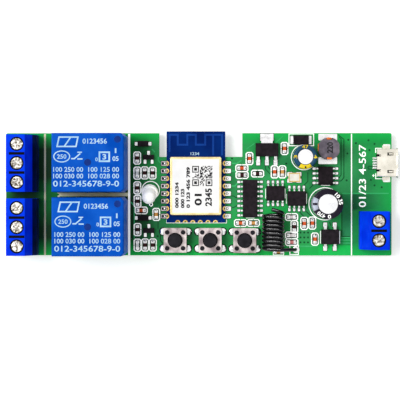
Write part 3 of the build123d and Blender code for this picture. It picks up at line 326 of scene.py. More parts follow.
finish_rows = {
    "mask_green": ("green_lacquer", (32, 122, 66), (54, 158, 90), (0.30, 0.45), weave, 9000, 0.10, 90),
    "track_green": ("lacquer_over_copper", (48, 174, 98), (70, 192, 116), (0.28, 0.42), weave, 9000,
                    0.08, 120),
    "gap_green": ("lacquer_over_bare_board", (4, 66, 34), (12, 88, 44), (0.32, 0.46), weave, 9000,
                  0.08, 200),
    "dull_green": ("lacquer_over_bare_field", (30, 126, 72), (48, 150, 90), (0.30, 0.45), weave, 9000,
                   0.10, 120),
    "pour_green": ("lacquer_over_pour", (16, 180, 74), (32, 200, 90), (0.28, 0.42), weave, 9000, 0.08, 150),
    "mask_blue": ("blue_lacquer", (0, 26, 92), (0, 42, 116), (0.28, 0.42), weave, 9000, 0.08, 150, dim),
    "aerial_blue": ("blue_lacquer_over_copper", (0, 50, 132), (8, 66, 152), (0.25, 0.4), weave, 9000,
                    0.08, 150),
    "shade_green": ("lacquer_in_shade", (4, 34, 18), (10, 52, 28), (0.4, 0.55), weave, 9000, 0.08, 200),
    "deep_shade": ("shaded_surround", (2, 18, 12), (8, 30, 18), (0.5, 0.65), weave, 9000, 0.08, 200),
    "shaded_blue": ("terminal_blue_in_shade", (2, 16, 44), (6, 28, 84), (0.5, 0.65), grain, 3500, 0.3, 240),
    # Painted light: the white print glows a little, though it is no lamp.
    "print_white_painted_glow": ("white_board_print", (246, 250, 246), (255, 255, 252), (0.5, 0.65), grain, 9000, 0.2,
                    260, {**plain, "Emission Color": white, "Emission Strength": 0.35}),
    # Cream print; between the relays its warm tint is a painted reflection.
    "print_cream_and_warm_reflection": ("cream_board_print", (222, 220, 176), (240, 238, 204), (0.5, 0.65), grain, 9000, 0.2),
    "print_pale": ("pale_relay_print", (164, 206, 236), (194, 226, 246), (0.45, 0.6), grain, 7000),
    "print_black": ("black_label_print", (24, 24, 26), (44, 43, 46), (0.5, 0.7), grain, 7000),
    "print_yellow": ("yellow_sleeve_print", (226, 196, 20), (246, 220, 52), (0.4, 0.55), grain, 5000),
    "solder": ("bright_solder", (232, 232, 232), (254, 254, 254), (0.16, 0.34), grain, 2500, 0.25, 900,
               metal),
    "tinned": ("tinned_lead", (214, 213, 214), (244, 243, 244), (0.22, 0.38), drawn, 900, 0.2, 700, metal),
    "dull_tin": ("dull_tin", (150, 138, 148), (206, 198, 204), (0.3, 0.5), grain, 1800, 0.3, 900,
                 {"Metallic": 0.8}),
    "tin_shade": ("shaded_tin", (30, 40, 34), (58, 66, 60), (0.4, 0.6), grain, 2500, 0.2, 900,
                  {"Metallic": 0.3}),
    "gold": ("gold_plate", (206, 164, 84), (240, 204, 128), (0.2, 0.35), grain, 3000, 0.15, 900, metal),
    "shield": ("tinned_shield", (222, 200, 136), (248, 230, 176), (0.28, 0.44), drawn, 500, 0.25, 300,
               {"Metallic": 0.82}),
    "label": ("white_label", (246, 245, 243), (254, 254, 252), (0.5, 0.62), grain, 5000, 0.12),
    "blue_terminal": ("terminal_blue", (0, 49, 228), (0, 68, 246), (0.3, 0.46), grain, 3500, 0.3, 240, dim),
    "blue_cover": ("relay_blue", (0, 75, 182), (14, 92, 202), (0.26, 0.4), grain, 3000, 0.25, 180, dim),
    # Painted shade in the hollows of the relay dimples.
    "dimple_shade_blue": ("shaded_relay_blue", (8, 44, 120), (16, 58, 146), (0.4, 0.5), grain, 3000, 0.25, 400),
    "screw": ("zinc_plated_screw", (96, 82, 62), (250, 248, 242), (0.22, 0.42), drawn, 700, 0.35, 1500,
              metal, (1, 18, 18)),
    "brass": ("washed_brass", (188, 164, 96), (222, 198, 132), (0.24, 0.4), drawn, 700, 0.3, 500, metal),
    "black": ("black_moulding", (20, 19, 23), (38, 36, 42), (0.38, 0.55), grain, 4000, 0.3, 500),
    # Painted shade for deep grooves, screw wells and openings.
    "recess_shade_black": ("shaded_recess", (4, 4, 8), (12, 12, 18), (0.7, 0.85), grain, 4000, 0.3, 500),
    "epoxy": ("chip_epoxy", (20, 15, 19), (40, 32, 38), (0.5, 0.66), grain, 6000, 0.5, 900),
    "white_nylon": ("white_nylon", (208, 205, 194), (232, 230, 220), (0.45, 0.6), grain, 3500, 0.2),
    "copper": ("enamelled_copper", (206, 96, 34), (236, 134, 60), (0.22, 0.38), drawn, 900, 0.5, 300,
               {"Metallic": 0.8}, (30, 30, 1)),
    "iron": ("nickel_iron", (150, 150, 150), (186, 186, 188), (0.3, 0.48), drawn, 700, 0.3, 400, metal),
    "spring": ("copper_spring", (190, 128, 74), (222, 166, 110), (0.22, 0.38), drawn, 900, 0.3, 400, metal),
    "button_frame": ("tinned_frame", (146, 132, 134), (212, 200, 198), (0.3, 0.46), drawn, 500, 0.45, 500,
                     dull_metal, (24, 1, 24)),
    "can": ("drawn_aluminium", (238, 238, 240), (248, 248, 249), (0.24, 0.36), drawn, 600, 0.12, 500,
            dull_metal),
    "sleeve": ("black_sleeve", (22, 18, 30), (40, 33, 50), (0.22, 0.34), grain, 1500, 0.3, 300),
    "sleeve_teal": ("teal_sleeve", (20, 58, 84), (36, 82, 110), (0.22, 0.34), grain, 1500, 0.3, 300),
    "stripe_grey": ("grey_stripe", (160, 168, 190), (198, 204, 220), (0.25, 0.36), grain, 1500, 0.2, 300),
    "rubber": ("rubber_bung", (30, 30, 31), (44, 44, 45), (0.6, 0.75), grain, 3500, 0.3),
    "ferrite": ("ground_ferrite", (86, 80, 90), (122, 114, 124), (0.42, 0.6), grain, 2600, 0.6, 600),
    "wire_cover": ("wire_insulation", (5, 4, 7), (12, 10, 15), (0.14, 0.20), grain, 2500, 0.02, 400,
                   {"Specular IOR Level": 0.32}),
    "socket_steel": ("tinned_socket", (226, 221, 206), (240, 235, 222), (0.2, 0.36), drawn, 600, 0.25, 500,
                     dull_metal),
    "crystal": ("crystal_lid", (212, 208, 194), (236, 234, 222), (0.3, 0.45), drawn, 900, 0.25, 500,
                {"Metallic": 0.3}),
    "resistor": ("resistor_glaze", (40, 16, 18), (70, 30, 30), (0.3, 0.5), grain, 4000, 0.25, 1400),
    "ceramic": ("fired_ceramic", (206, 76, 30), (232, 110, 58), (0.4, 0.55), grain, 4000, 0.25, 900),
    "ceramic_tan": ("tan_ceramic", (206, 142, 70), (228, 172, 98), (0.4, 0.55), grain, 4000, 0.25, 900),
    "glaze_white": ("white_glaze", (226, 218, 216), (246, 242, 240), (0.4, 0.55), grain, 4000, 0.2, 900),
    "glaze_pink": ("pink_glaze", (214, 120, 120), (238, 168, 164), (0.4, 0.55), grain, 4000, 0.2, 900),
    "lamp_chip": ("white_lamp_chip", (246, 248, 240), (254, 255, 250), (0.3, 0.45), grain, 3000),
    # Painted light: the lamp is not lit, yet its milky body glows a little.
    "milky": ("milky_lamp", (252, 252, 248), (255, 255, 253), (0.18, 0.3), grain, 1500, 0.08, 260,
              {"Specular IOR Level": 0.5, "Emission Color": white, "Emission Strength": 0.20}),
}
finishes = {key: finish(*row) for key, row in finish_rows.items()}
print(len(finishes), "finishes made")

# %% [markdown]
# The lacquer of the main board isn't one green. Painted light makes it brighter at its edges and at its right
# end, away from the tall parts, and painted shade makes it deep green in the narrow lanes beside the tall
# relays. A mask in the board's own coordinates mixes this bright and this deep green, a dull green band and
# random clouds into the cloudy one.

# %% Green lacquer of the main board, with painted light and shade
# The deep tint is painted shade beside the relays. The bright tint is painted light at the edges and the
# right end, mixed with random clouds.
tints = {"Depth": (0, 44, 12), "Glow": (10, 188, 76), "Dull": (16, 88, 52)}
band_sides = (("X", 0.0398, 0.0400), ("Y", -0.0001, -0.0003), ("Y", -0.0048, -0.0040))


def make_painted_light_mask():
    """Masks over the board: painted light at the edges and the right end, mixed with random clouds, painted
    shade in the relay lanes, and a dull band at the right.
    """
    group, given = new_group("painted_light_and_field_mask", Place=(0, 0, 0))
    split = put(group, "SeparateXYZ", {0: given["Place"]})
    across = put(group, "Math", {0: split["Y"]}, operation="ABSOLUTE")[0]
    edges = spread(group, across, 0.0118, 0.0162, 0.0, 0.85)
    right_end = spread(group, split["X"], 0.0440, 0.0505, 0.0, 0.60)
    clouds = spread(group, noise(group, given["Place"], 70.0, 2.0), 0.50, 0.72, 0.0, 0.55)
    ends = maths(group, "MAXIMUM", edges, right_end)
    band = spread(group, split["X"], 0.0410, 0.0486, 0.95, 0.0)
    for axis, off, full in band_sides:
        band = maths(group, "MULTIPLY", band, spread(group, split[axis], off, full, 0.0, 1.0))
    return finished(group, Glow=maths(group, "MAXIMUM", ends, clouds), Dull=band,
                    Depth=spread(group, split["X"], -0.0125, -0.0178, 0.0, 0.92))


lacquer = finishes["mask_green"].node_tree
nodes_by_type = {node.type: node for node in lacquer.nodes}
base = nodes_by_type["BSDF_PRINCIPLED"].inputs["Base Color"]
colour = base.links[0].from_socket
mask = put(lacquer, "Group", {"Place": nodes_by_type["TEX_COORD"].outputs["Object"]},
           node_tree=make_painted_light_mask())
for factor, tint in tints.items():
    colour = blend(lacquer, mask[factor], colour, light(*tint))
lacquer.links.new(colour, base)
print("edge mask mixed in")

# %% [markdown]
# The solids keep their own shapes. Each gets the finish that its piece has on the real object.

# %% Dress the solids
solids_of_finish = {
    "mask_green": "main_board", "mask_blue": "radio_board", "solder": "solder_joints",
    "shield": "radio_shield", "label": "radio_label", "epoxy": "radio_chips chip_bodies",
    "tinned": "terminal_contacts relay_pins button_domes button_legs component_leads socket_contacts"
              " chip_leads",
    "blue_terminal": "terminal_housing", "screw": "terminal_screw", "brass": "clamp_cage",
    "blue_cover": "relay_covers", "black": "relay_bases button_bases button_cap socket_tongue",
    "white_nylon": "relay_bobbins", "copper": "relay_windings inductor_winding",
    "iron": "relay_magnet_frames relay_armature", "spring": "relay_blade",
    "button_frame": "button_frames", "can": "capacitor_cans", "sleeve": "capacitor_sleeves",
    "rubber": "capacitor_bungs", "ferrite": "inductor_core", "wire_cover": "coil_aerial",
    "socket_steel": "socket_shell", "crystal": "crystal_can", "resistor": "chip_resistors",
    "ceramic": "ceramic_capacitors", "lamp_chip": "indicator_lamps", "milky": "round_lamp",
}
for name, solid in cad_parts.items():
    key = next(key for key, starts in solids_of_finish.items() if name.startswith(tuple(starts.split())))
    for slot in solid.material_slots:
        slot.material = finishes[key]
print(len(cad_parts), "solids dressed")

# %% [markdown]
# The added pieces are surfaces in numpy. A part is a pair: an array of points and a list of faces.
# Parts are joined as arrays and become one mesh, with its doubles merged and its faces outwards.

# %% Shape helpers


def joined(parts):
    """One part from many: points stacked, faces shifted by the points before them."""
    faces, count = [], 0
    for verts, own_faces in parts:
        faces += [[i + count for i in face] for face in own_faces]
        count += len(verts)
    return np.vstack([verts for verts, own_faces in parts]), faces


def moved(part, x, y, z=0.0, turn=0.0):
    """Part turned about Z by turn degrees, then shifted."""
    verts, faces = part
    c, s = math.cos(math.radians(turn)), math.sin(math.radians(turn))
    return verts @ np.array([[c, s, 0], [-s, c, 0], [0, 0, 1]]) + np.array([x, y, z]), faces


def level_rows(lines, heights):
    """Flat lines of points, each at its own height, stacked to one array."""
    return np.vstack([np.column_stack([line, np.full(len(line), z)]) for line, z in zip(lines, heights)])


def net(rows, columns, rows_meet, columns_meet):
    """Faces between neighbours in a net of points, which may meet itself either way."""
    return [[r * columns + c, r * columns + (c + 1) % columns,
             (r + 1) % rows * columns + (c + 1) % columns, (r + 1) % rows * columns + c]
            for r in range(rows if rows_meet else rows - 1)
            for c in range(columns if columns_meet else columns - 1)]


def circle(sides):
    """Angles of the corners of an even polygon."""
    return np.arange(sides) * 2 * math.pi / sides


def spun(profile, angles):
    """Net of points: a profile of (radius, height) at each angle about Z."""
    return np.stack([np.outer(profile[:, 0], np.cos(angles)), np.outer(profile[:, 0], np.sin(angles)),
                     np.repeat(profile[:, 1:2], len(angles), axis=1)], axis=2)


def capped(grid, first, last):
    """Closed form from rings of points, each end drawn together in one point."""
    rows, sides = grid.shape[:2]
    end = rows * sides
    faces = net(rows, sides, False, True)
    for c in range(sides):
        after = (c + 1) % sides
        faces += [[end, after, c], [end + 1, end - sides + c, end - sides + after]]
    return np.vstack([grid.reshape(-1, 3), first, last]), faces


def slab(outline, low, high):
    """Closed slab: the outline at two heights, a face on each, and one wall face per side."""
    n = len(outline)
    flat = [list(range(n))[::-1], list(range(n, 2 * n))]
    return level_rows([outline, outline], [low, high]), flat + net(2, n, False, True)


def plate(x, y, wide, deep, low, high, corner=0.0, turn=0.0):
    """Slab over a rectangle whose corners are quarter circles of radius corner."""
    signs = np.array([(1, 1), (-1, 1), (-1, -1), (1, -1)])
    outline = signs * [wide / 2, deep / 2]
    if corner > 0:
        angles = np.radians(np.arange(0, 91, 22.5) + 90 * np.arange(4)[:, None])
        arcs = corner * np.stack([np.cos(angles), np.sin(angles)], axis=2)
        outline = ((outline - corner * signs)[:, None] + arcs).reshape(-1, 2)
    return moved(slab(outline, low, high), x, y, 0, turn)


def ribbon(route, width, low, high, closed=False):
    """Strip of one width along a route: each point is offset along the mitre of its two runs."""
    route = np.asarray(route, float)
    ahead = np.roll(route, -1, axis=0) - route
    if not closed:
        ahead[-1] = ahead[-2]
    ahead /= np.linalg.norm(ahead, axis=1, keepdims=True)
    behind = np.roll(ahead, 1, axis=0)
    if not closed:
        behind[0] = ahead[0]
    normal = (ahead + behind)[:, ::-1] * [-1, 1]
    normal /= np.linalg.norm(normal, axis=1, keepdims=True)
    across = ahead[:, ::-1] * [-1, 1]
    reach = width / 2 / np.maximum((normal * across).sum(axis=1, keepdims=True), 0.35)
    left, right = route + normal * reach, route - normal * reach
    n = len(route)
    faces = net(4, n, True, closed)
    if not closed:
        faces += [[0, 3 * n, 2 * n, n], [n - 1, 2 * n - 1, 3 * n - 1, 4 * n - 1]]
    return level_rows([left, right, right, left], [low, low, high, high]), faces


def ring(x, y, inner, outer, low, high, sides=32):
    """Flat ring: four circles, inner and outer at two heights."""
    unit = np.column_stack([np.cos(circle(sides)), np.sin(circle(sides))])
    lines = [unit * radius + [x, y] for radius in (inner, outer, outer, inner)]
    return level_rows(lines, [low, low, high, high]), net(4, sides, True, True)


def turned_form(profile, x, y, z, sides=24, squeeze=1.0):
    """Closed turned form: (radius, height) points spun about Z, both ends on the axis."""
    profile = np.asarray(profile, float)
    grid = spun(profile[1:-1], circle(sides)) * [1, squeeze, 1]
    return moved(capped(grid, [0, 0, profile[0, 1]], [0, 0, profile[-1, 1]]), x, y, z)


def tube(line, radius, sides=14):
    """Circle carried along a line; its frame comes from the line's direction and the Y axis."""
    ahead = np.gradient(line, axis=0)
    ahead /= np.linalg.norm(ahead, axis=1, keepdims=True)
    side = np.cross(ahead, [0.0, 1.0, 0.0])
    side /= np.linalg.norm(side, axis=1, keepdims=True)
    angles = circle(sides)[None, :, None]
    around = np.cos(angles) * side[:, None] + np.sin(angles) * np.cross(side, ahead)[:, None]
    return capped(line[:, None] + radius * around, line[0], line[-1])


def words(text, x, y, low, high, height, length, turn, bold):
    """Plain figures as a closed slab: flat curves made a mesh, then fitted to a height and a length."""
    curve = bpy.data.curves.new("figures", "FONT")
    curve.body = text
    curve.extrude = 0.5
    curve.offset = bold
    curve.resolution_u = 3
    holder = shown(bpy.data.objects.new("figures", curve))
    seen_by = bpy.context.evaluated_depsgraph_get()
    mesh = bpy.data.meshes.new_from_object(holder.evaluated_get(seen_by))
    verts = np.empty(len(mesh.vertices) * 3)
    mesh.vertices.foreach_get("co", verts)
    faces = [list(face.vertices) for face in mesh.polygons]
    bpy.data.objects.remove(holder)
    bpy.data.curves.remove(curve)
    bpy.data.meshes.remove(mesh)
    verts = verts.reshape(-1, 3)
    small, large = verts.min(axis=0), verts.max(axis=0)
    unit = (verts - (small + large) / 2) / (large - small)
    return moved((unit * [length, height, high - low] + [0, 0, (low + high) / 2], faces), x, y, 0, turn)


def px_route(points, up=0.0):
    """Route in mm from a list of pixels."""
    return [spot_up(px, py, up) for px, py in points]


def px_box(box, up=0.0):
    """Middle and sides in mm of a box given by its left, top, right and bottom pixels."""
    left, top, right, bottom = box
    (x0, y0), (x1, y1) = px_route([(left, bottom), (right, top)], up)
    return (x0 + x1) / 2, (y0 + y1) / 2, x1 - x0, y1 - y0


def px_plate(box, low, high, corner=0.0, up=0.0):
    """Plate over a box of pixels."""
    return plate(*px_box(box, up), low, high, corner)


def px_words(text, box, low, high, turn=0.0, bold=0.02, up=0.0):
    """Plain figures that fill a box of pixels, seen on a face at a height above the board."""
    x, y, wide, deep = px_box(box, up)
    height, length = (deep, wide) if turn == 0 else (wide, deep)
    return words(text, x, y, low, high, height, length, turn, bold)


def piece(name, parts, finish_name, body="board", smooth=False):
    """Mesh object in metres from parts in mm, riding on a body of the frame."""
    verts, faces = joined(parts)
    mesh = bpy.data.meshes.new(name)
    mesh.from_pydata((verts * mm).tolist(), [], faces)
    work = bmesh.new()
    work.from_mesh(mesh)
    bmesh.ops.remove_doubles(work, verts=work.verts, dist=1e-7)
    bmesh.ops.recalc_face_normals(work, faces=work.faces)
    work.to_mesh(mesh)
    work.free()
    if smooth:
        mesh.shade_smooth()
    mesh.materials.append(finishes[finish_name])
    made = shown(bpy.data.objects.new(name, mesh))
    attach(made, body)
    print(name, len(mesh.polygons), "faces")
    return made


# %% [markdown]
# Copper that runs under the lacquer lifts it by a hair and makes it lighter. Each track is a thin
# strip on the board. Wide areas of copper show as paler fields, and the bare gaps between copper
# areas show as thin dark lines. Films that may cross each lie at their own level. A row of a table
# is a width and the pixels of a route.

# %% Tracks, gaps and copper fields
film_low = board_top - 0.01
pour_level = board_top + 0.008
clearance_level = board_top + 0.016
gap_level = board_top + 0.024
track_level = board_top + 0.032
level_step = 0.0004
light_tracks = [
    (0.3, (231.5, 163.4), (237.0, 163.4), (241.5, 160.5)),
    (0.3, (231.5, 171.0), (235.5, 171.0), (239.0, 175.5)),
    (0.3, (231.5, 186.0), (235.0, 186.0), (238.2, 182.4)),
    (0.3, (161.0, 163.5), (158.2, 160.6), (158.2, 156.6)),
    (0.3, (151.6, 149.0), (154.8, 152.2)), (0.2, (246.8, 148.8), (254.6, 143.4)),
    (0.2, (275.4, 143.0), (283.0, 136.4)), (0.35, (258.0, 232.0), (258.0, 249.0), (254.6, 252.4)),
    (0.3, (340.6, 237.4), (350.2, 237.4)), (0.3, (340.6, 240.0), (350.2, 240.0)),
    (0.3, (340.6, 243.0), (350.2, 243.0)), (0.35, (300.2, 246.2), (318.0, 246.2)),
    (0.3, (341.6, 193.4), (350.4, 193.4)), (0.3, (352.6, 193.4), (388.6, 193.4)),
    (0.35, (134.2, 239.0), (134.2, 205.6), (130.6, 202.0)),
]
dark_gaps = [
    (0.22, (338.6, 136.8), (341.0, 138.8), (341.0, 175.0), (338.4, 178.6)),
    (0.22, (337.6, 134.6), (343.8, 139.4), (343.8, 177.6), (340.8, 181.0), (336.4, 181.0)),
    (0.22, (375.4, 166.4), (368.6, 166.4), (367.6, 167.8), (368.6, 169.2), (375.4, 169.2)),
    (0.2, (265.4, 164.0), (265.4, 169.0), (271.2, 175.2)),
    (0.2, (268.6, 164.0), (268.6, 167.4), (273.6, 172.6)),
    (0.22, (299.2, 211.4), (304.6, 217.4)), (0.22, (306.0, 211.4), (313.4, 218.0)),
    (0.2, (303.6, 185.6), (307.8, 181.4), (307.8, 172.4)),
    (0.22, (237.0, 205.4), (233.6, 207.6), (231.6, 207.6)),
    (0.22, (237.0, 198.2), (233.6, 196.0), (231.6, 196.0)), (0.22, (329.4, 222.0), (331.0, 226.0)),
    (0.25, (341.8, 193.8), (341.8, 236.4), (350.0, 236.4)),
    (0.22, (158.0, 228.6), (158.0, 219.0), (163.4, 213.6)),
    (0.22, (160.4, 228.4), (160.4, 240.8), (163.4, 244.0)), (0.2, (146.6, 150.0), (141.4, 155.2)),
    (0.2, (262.4, 219.4), (262.4, 213.2), (258.8, 209.6)),
    (0.2, (309.4, 188.6), (315.4, 182.4), (315.4, 172.4)),
]
bright_field, bright_corner = (318.5, 245.2, 350.3, 254.9), 0.3
dull_field, dull_corner = (342.4, 194.6, 350.2, 236.0), 0.2


def films(rows, level):
    """Strips of pixel routes, each at a level of its own just above the last."""
    return [ribbon(px_route(route), width, film_low, level + i * level_step)
            for i, (width, *route) in enumerate(rows)]


piece("copper_tracks", films(light_tracks, track_level), "track_green")
piece("copper_gaps", films(dark_gaps, gap_level), "gap_green")
piece("copper_fields", [px_plate(bright_field, film_low, pour_level, bright_corner)], "pour_green")
piece("bare_fields", [px_plate(dull_field, film_low, pour_level, dull_corner)], "dull_green")

# %% [markdown]
# Pads are bare copper with a skin of solder. Small parts have one at each end, chips one under each foot.
# Round every pad the lacquer stays clear of the copper, and that clearance is painted darker than bare board,
# as painted shade.
# Places are a pixel and a turn in degrees. A foot is its middle and its sides in mm, seen from there.

# %% Pads
pad_level = board_top + 0.04
clearance = 0.14
chip_places = [
    (137.1, 158.0, 90, "r"), (144.6, 172.9, 90, "r"), (152.5, 172.9, 90, "r"),
    (137.2, 187.9, 90, "r"), (137.4, 201.3, 90, "r"), (137.4, 229.6, 90, "r"),
    (145.0, 245.0, 90, "r"), (152.8, 245.0, 90, "r"), (294.4, 226.7, 90, "r"),
    (242.1, 175.1, 0, "r"), (257.6, 173.6, 0, "r"), (291.6, 217.0, 0, "w"), (291.6, 235.3, 0, "w"),
    (156.2, 214.4, 90, "t"), (249.5, 158.6, 90, "c"), (284.5, 148.6, 90, "c"),
    (274.6, 171.9, 90, "c"), (282.4, 171.9, 90, "t"), (304.2, 223.4, 90, "c"),
    (312.3, 223.0, 90, "c"), (314.9, 239.0, 90, "c"), (141.1, 210.4, 0, "c"),
    (241.9, 168.2, 0, "c"), (240.6, 223.0, 0, "c"), (253.4, 222.9, 0, "t"), (278.5, 251.6, 0, "t"),
    (137.2, 173.1, 90, "l"), (137.4, 245.2, 90, "l"), (291.8, 242.1, 0, "p"),
]
without_brackets = (278.5, 251.6)
dual_rows = [(250.1, 198.6, 0, 8), (275.4, 193.3, 90, 4), (296.6, 198.5, 90, 4), (325.35, 175.85, 0, 4)]
row_pitch, row_out, row_foot = 1.27, 2.96, (0.84, 0.60)
chip_end_out, chip_end_sides = 0.82, (0.80, 0.94)
transistor = [(-1.2, -0.95, 1.0, 0.7), (-1.2, 0.95, 1.0, 0.7), (1.2, 0, 1.0, 0.7)]
signal_diode = [(-1.82, 0, 0.76, 0.9), (1.82, 0, 0.76, 0.9)]
lead_feet = [
    (266.9, 149.9, 90, [(-3.35, -2.3, 1.5, 1.0), (-3.35, 0, 1.5, 1.0), (-3.35, 2.3, 1.5, 1.0),
                        (3.35, 0, 1.9, 3.5)]),
    (329.9, 236.6, 90, [(side * 3.1, along, 1.3, 1.0) for side in (-1, 1) for along in (-1.27, 1.27)]),
    (148.5, 157.3, 90, transistor), (148.8, 230.5, 90, transistor),
    (300.9, 140.05, 0, [(-2.3, 0, 1.0, 2.2), (2.3, 0, 1.0, 2.2)]),
    (143.0, 143.8, 0, signal_diode), (143.1, 217.9, 0, signal_diode),
    (294.35, 177.45, 0, [(side * 1.2, along, 1.3, 1.1) for along in (-0.85, 0.85) for side in (-1, 1)]),
]
inductor_pads = [(318.4, top, 337.0, bottom) for top, bottom in ((133.9, 140.6), (157.2, 164.1))]
socket_pads = [(382.8, top, 390.0, bottom) for top, bottom in ((144.4, 149.3), (176.7, 182.1))]
pin_middle, pin_half, pin_left, pin_right = 163.1, 0.8, 372.6, 376.6
pin_pitch_px = 0.65 / across_share
surround = (0, 0, 2.78, 1.36)
shoulder_top = board_top + 1.075
bend_out, bend_sides = 2.53, (0.20, 0.40)


def row_places(out):
    """Places along both sides of the chips with two rows: pixel, turn, distance out and along."""
    return [(px, py, turn, side * out, (row - (pairs - 1) / 2) * row_pitch)
            for px, py, turn, pairs in dual_rows for row in range(pairs) for side in (-1, 1)]


def foot_plate(foot, grow, level):
    """Plate under one foot, grown on all sides, in the place and turn of its part."""
    px, py, turn, x, y, wide, deep = foot
    flat = plate(x, y, wide + 2 * grow, deep + 2 * grow, film_low, level, 0.12 + grow / 2)
    return moved(flat, *spot(px, py), 0, turn)


feet = [(*place, *row_foot) for place in row_places(row_out)]
feet += [(px, py, turn, *foot) for px, py, turn, group_feet in lead_feet for foot in group_feet]
small_feet = [(px, py, turn, side * chip_end_out, 0, *chip_end_sides)
              for px, py, turn, kind in chip_places for side in (-1, 1)]
pads = [foot_plate(foot, 0, pad_level + (i % 9) * level_step)
        for i, foot in enumerate(feet + small_feet)]
rims = [foot_plate(foot, clearance, clearance_level + (i % 17) * level_step)
        for i, foot in enumerate(feet)]
pads += [px_plate(box, film_low, pad_level, 0.2) for box in inductor_pads]
pads += [px_plate(box, film_low, pad_level, 0.25) for box in socket_pads]
pin_rows = [pin_middle + (i - 2) * pin_pitch_px for i in range(5)]
pads += [px_plate((pin_left, row - pin_half, pin_right, row + pin_half), film_low, pad_level)
         for row in pin_rows]
piece("tinned_pads", pads, "solder")
# Painted shade: a dark plate under and round each small part, where it shades the board.
surrounds = [foot_plate((px, py, turn, *surround), 0, clearance_level + (i % 17) * level_step)
             for i, (px, py, turn, kind) in enumerate(chip_places)]
piece("chip_shade_plates", surrounds, "deep_shade")
# Painted shade: a dark film over the bend of each chip lead, where the steep tin is in shade.
bends = [moved(plate(x, y, *bend_sides, shoulder_top - 0.05, shoulder_top + 0.008), *spot(px, py), 0, turn)
         for px, py, turn, x, y in row_places(bend_out)]
piece("lead_bend_shade", bends, "tin_shade")

# %% [markdown]
# Vias are filled with lacquer and show as small dark dots. The legs of the buttons and of the lamp
# and the end of the coil stand in round pads, where solder has risen to a low dome.

# %% Vias, round pads and solder
via_spots = [(355.8, 143.3), (368.3, 140.4), (374.3, 144.0), (369.3, 150.2), (347.3, 153.5),
             (346.5, 180.4), (370.8, 180.0), (374.3, 185.4), (381.5, 187.3), (348.2, 140.0),
             (157.6, 236.2), (232.0, 158.4), (252.6, 169.4), (286.2, 163.6), (318.0, 192.6)]
via_spots += [(px, py) for py in np.linspace(232.5, 242.3, 3) for px in np.linspace(300.5, 308.0, 3)]
via_profile = [(0, film_low), (0.26, film_low), (0.26, track_level), (0.12, track_level - 0.02),
               (0, track_level - 0.02)]
button_spots = ((175.5, 240.0), (210.4, 240.0), (244.7, 240.2))
leg_x, leg_y = 3.3, 2.25
lamp_pad, coil_pad = (150.8, 204.4), (295.5, 249.5)
coil_dome = (296.0, 249.5)
leg_dome, leg_rim = (1.0, 0.30), (0.9, 1.14)
lamp_ring, lamp_hole = (0.2, 0.62), (0.02, 0.19)
coil_dome_size = (1.05, 0.25)
end_out, end_dome = 1.06, (0.30, 0.20)
dome_lift = 0.02


def solder_dome(x, y, radius, height, squeeze=1.0):
    """Low dome: its height falls with the square of the distance from the middle."""
    share = np.linspace(1, 0.15, 6)
    foot = film_low + dome_lift
    profile = [(0, film_low)] + [(radius * s, foot + height * (1 - s**2)) for s in share]
    return turned_form(profile + [(0, foot + height)], x, y, 0, 20, squeeze)


vias = [turned_form(via_profile, *spot(*place), 0, 16) for place in via_spots]
piece("filled_vias", vias, "gap_green")
domes = []
for place in button_spots:
    for sx, sy in corner_signs:
        x, y = np.array(spot(*place)) + [sx * leg_x, sy * leg_y]
        domes.append(solder_dome(x, y, *leg_dome))
        rims.append(ring(x, y, *leg_rim, film_low, clearance_level, 28))
domes.append(ring(*spot(*lamp_pad), *lamp_ring, film_low, pad_level + 0.05, 24))
rims.append(ring(*spot(*lamp_pad), *lamp_hole, film_low, clearance_level, 16))
domes.append(solder_dome(*spot(*coil_dome), *coil_dome_size))
for px, py, turn, kind in chip_places:
    x, y = spot(px, py)
    dx, dy = end_out * math.cos(math.radians(turn)), end_out * math.sin(math.radians(turn))
    domes += [solder_dome(x + side * dx, y + side * dy, *end_dome) for side in (-1, 1)]
piece("solder_domes", domes, "solder", smooth=True)

# %% [markdown]
# Chip parts are told apart by their glaze: dark red resistors, white ones, red and tan ceramics.
# Each gets a skin of its own glaze on top, which laps a little over the metal ends.

# %% Glaze of the chip parts
chip_foot = board_top + 0.05
glaze_of_kind = {"r": ("resistor", 0.45), "w": ("glaze_white", 0.45), "t": ("ceramic_tan", 0.80),
                 "p": ("glaze_pink", 0.60)}
glaze_sides, glaze_deep, glaze_corner, skin = (1.12, 0.82), 0.3, 0.05, 0.012
for kind, (glaze, tall) in glaze_of_kind.items():
    top = chip_foot + tall
    tops = [moved(plate(0, 0, *glaze_sides, top - glaze_deep, top + skin, glaze_corner),
                  *spot(px, py), 0, turn)
            for px, py, turn, part_kind in chip_places if part_kind == kind]
    piece("glazed_tops_" + glaze, tops, glaze)

# %% [markdown]
# The white print on the board marks edges, outlines and places. All of it is thin slabs: ribbons
# for lines, rings for round parts, brackets round the small ones, and plain figures.

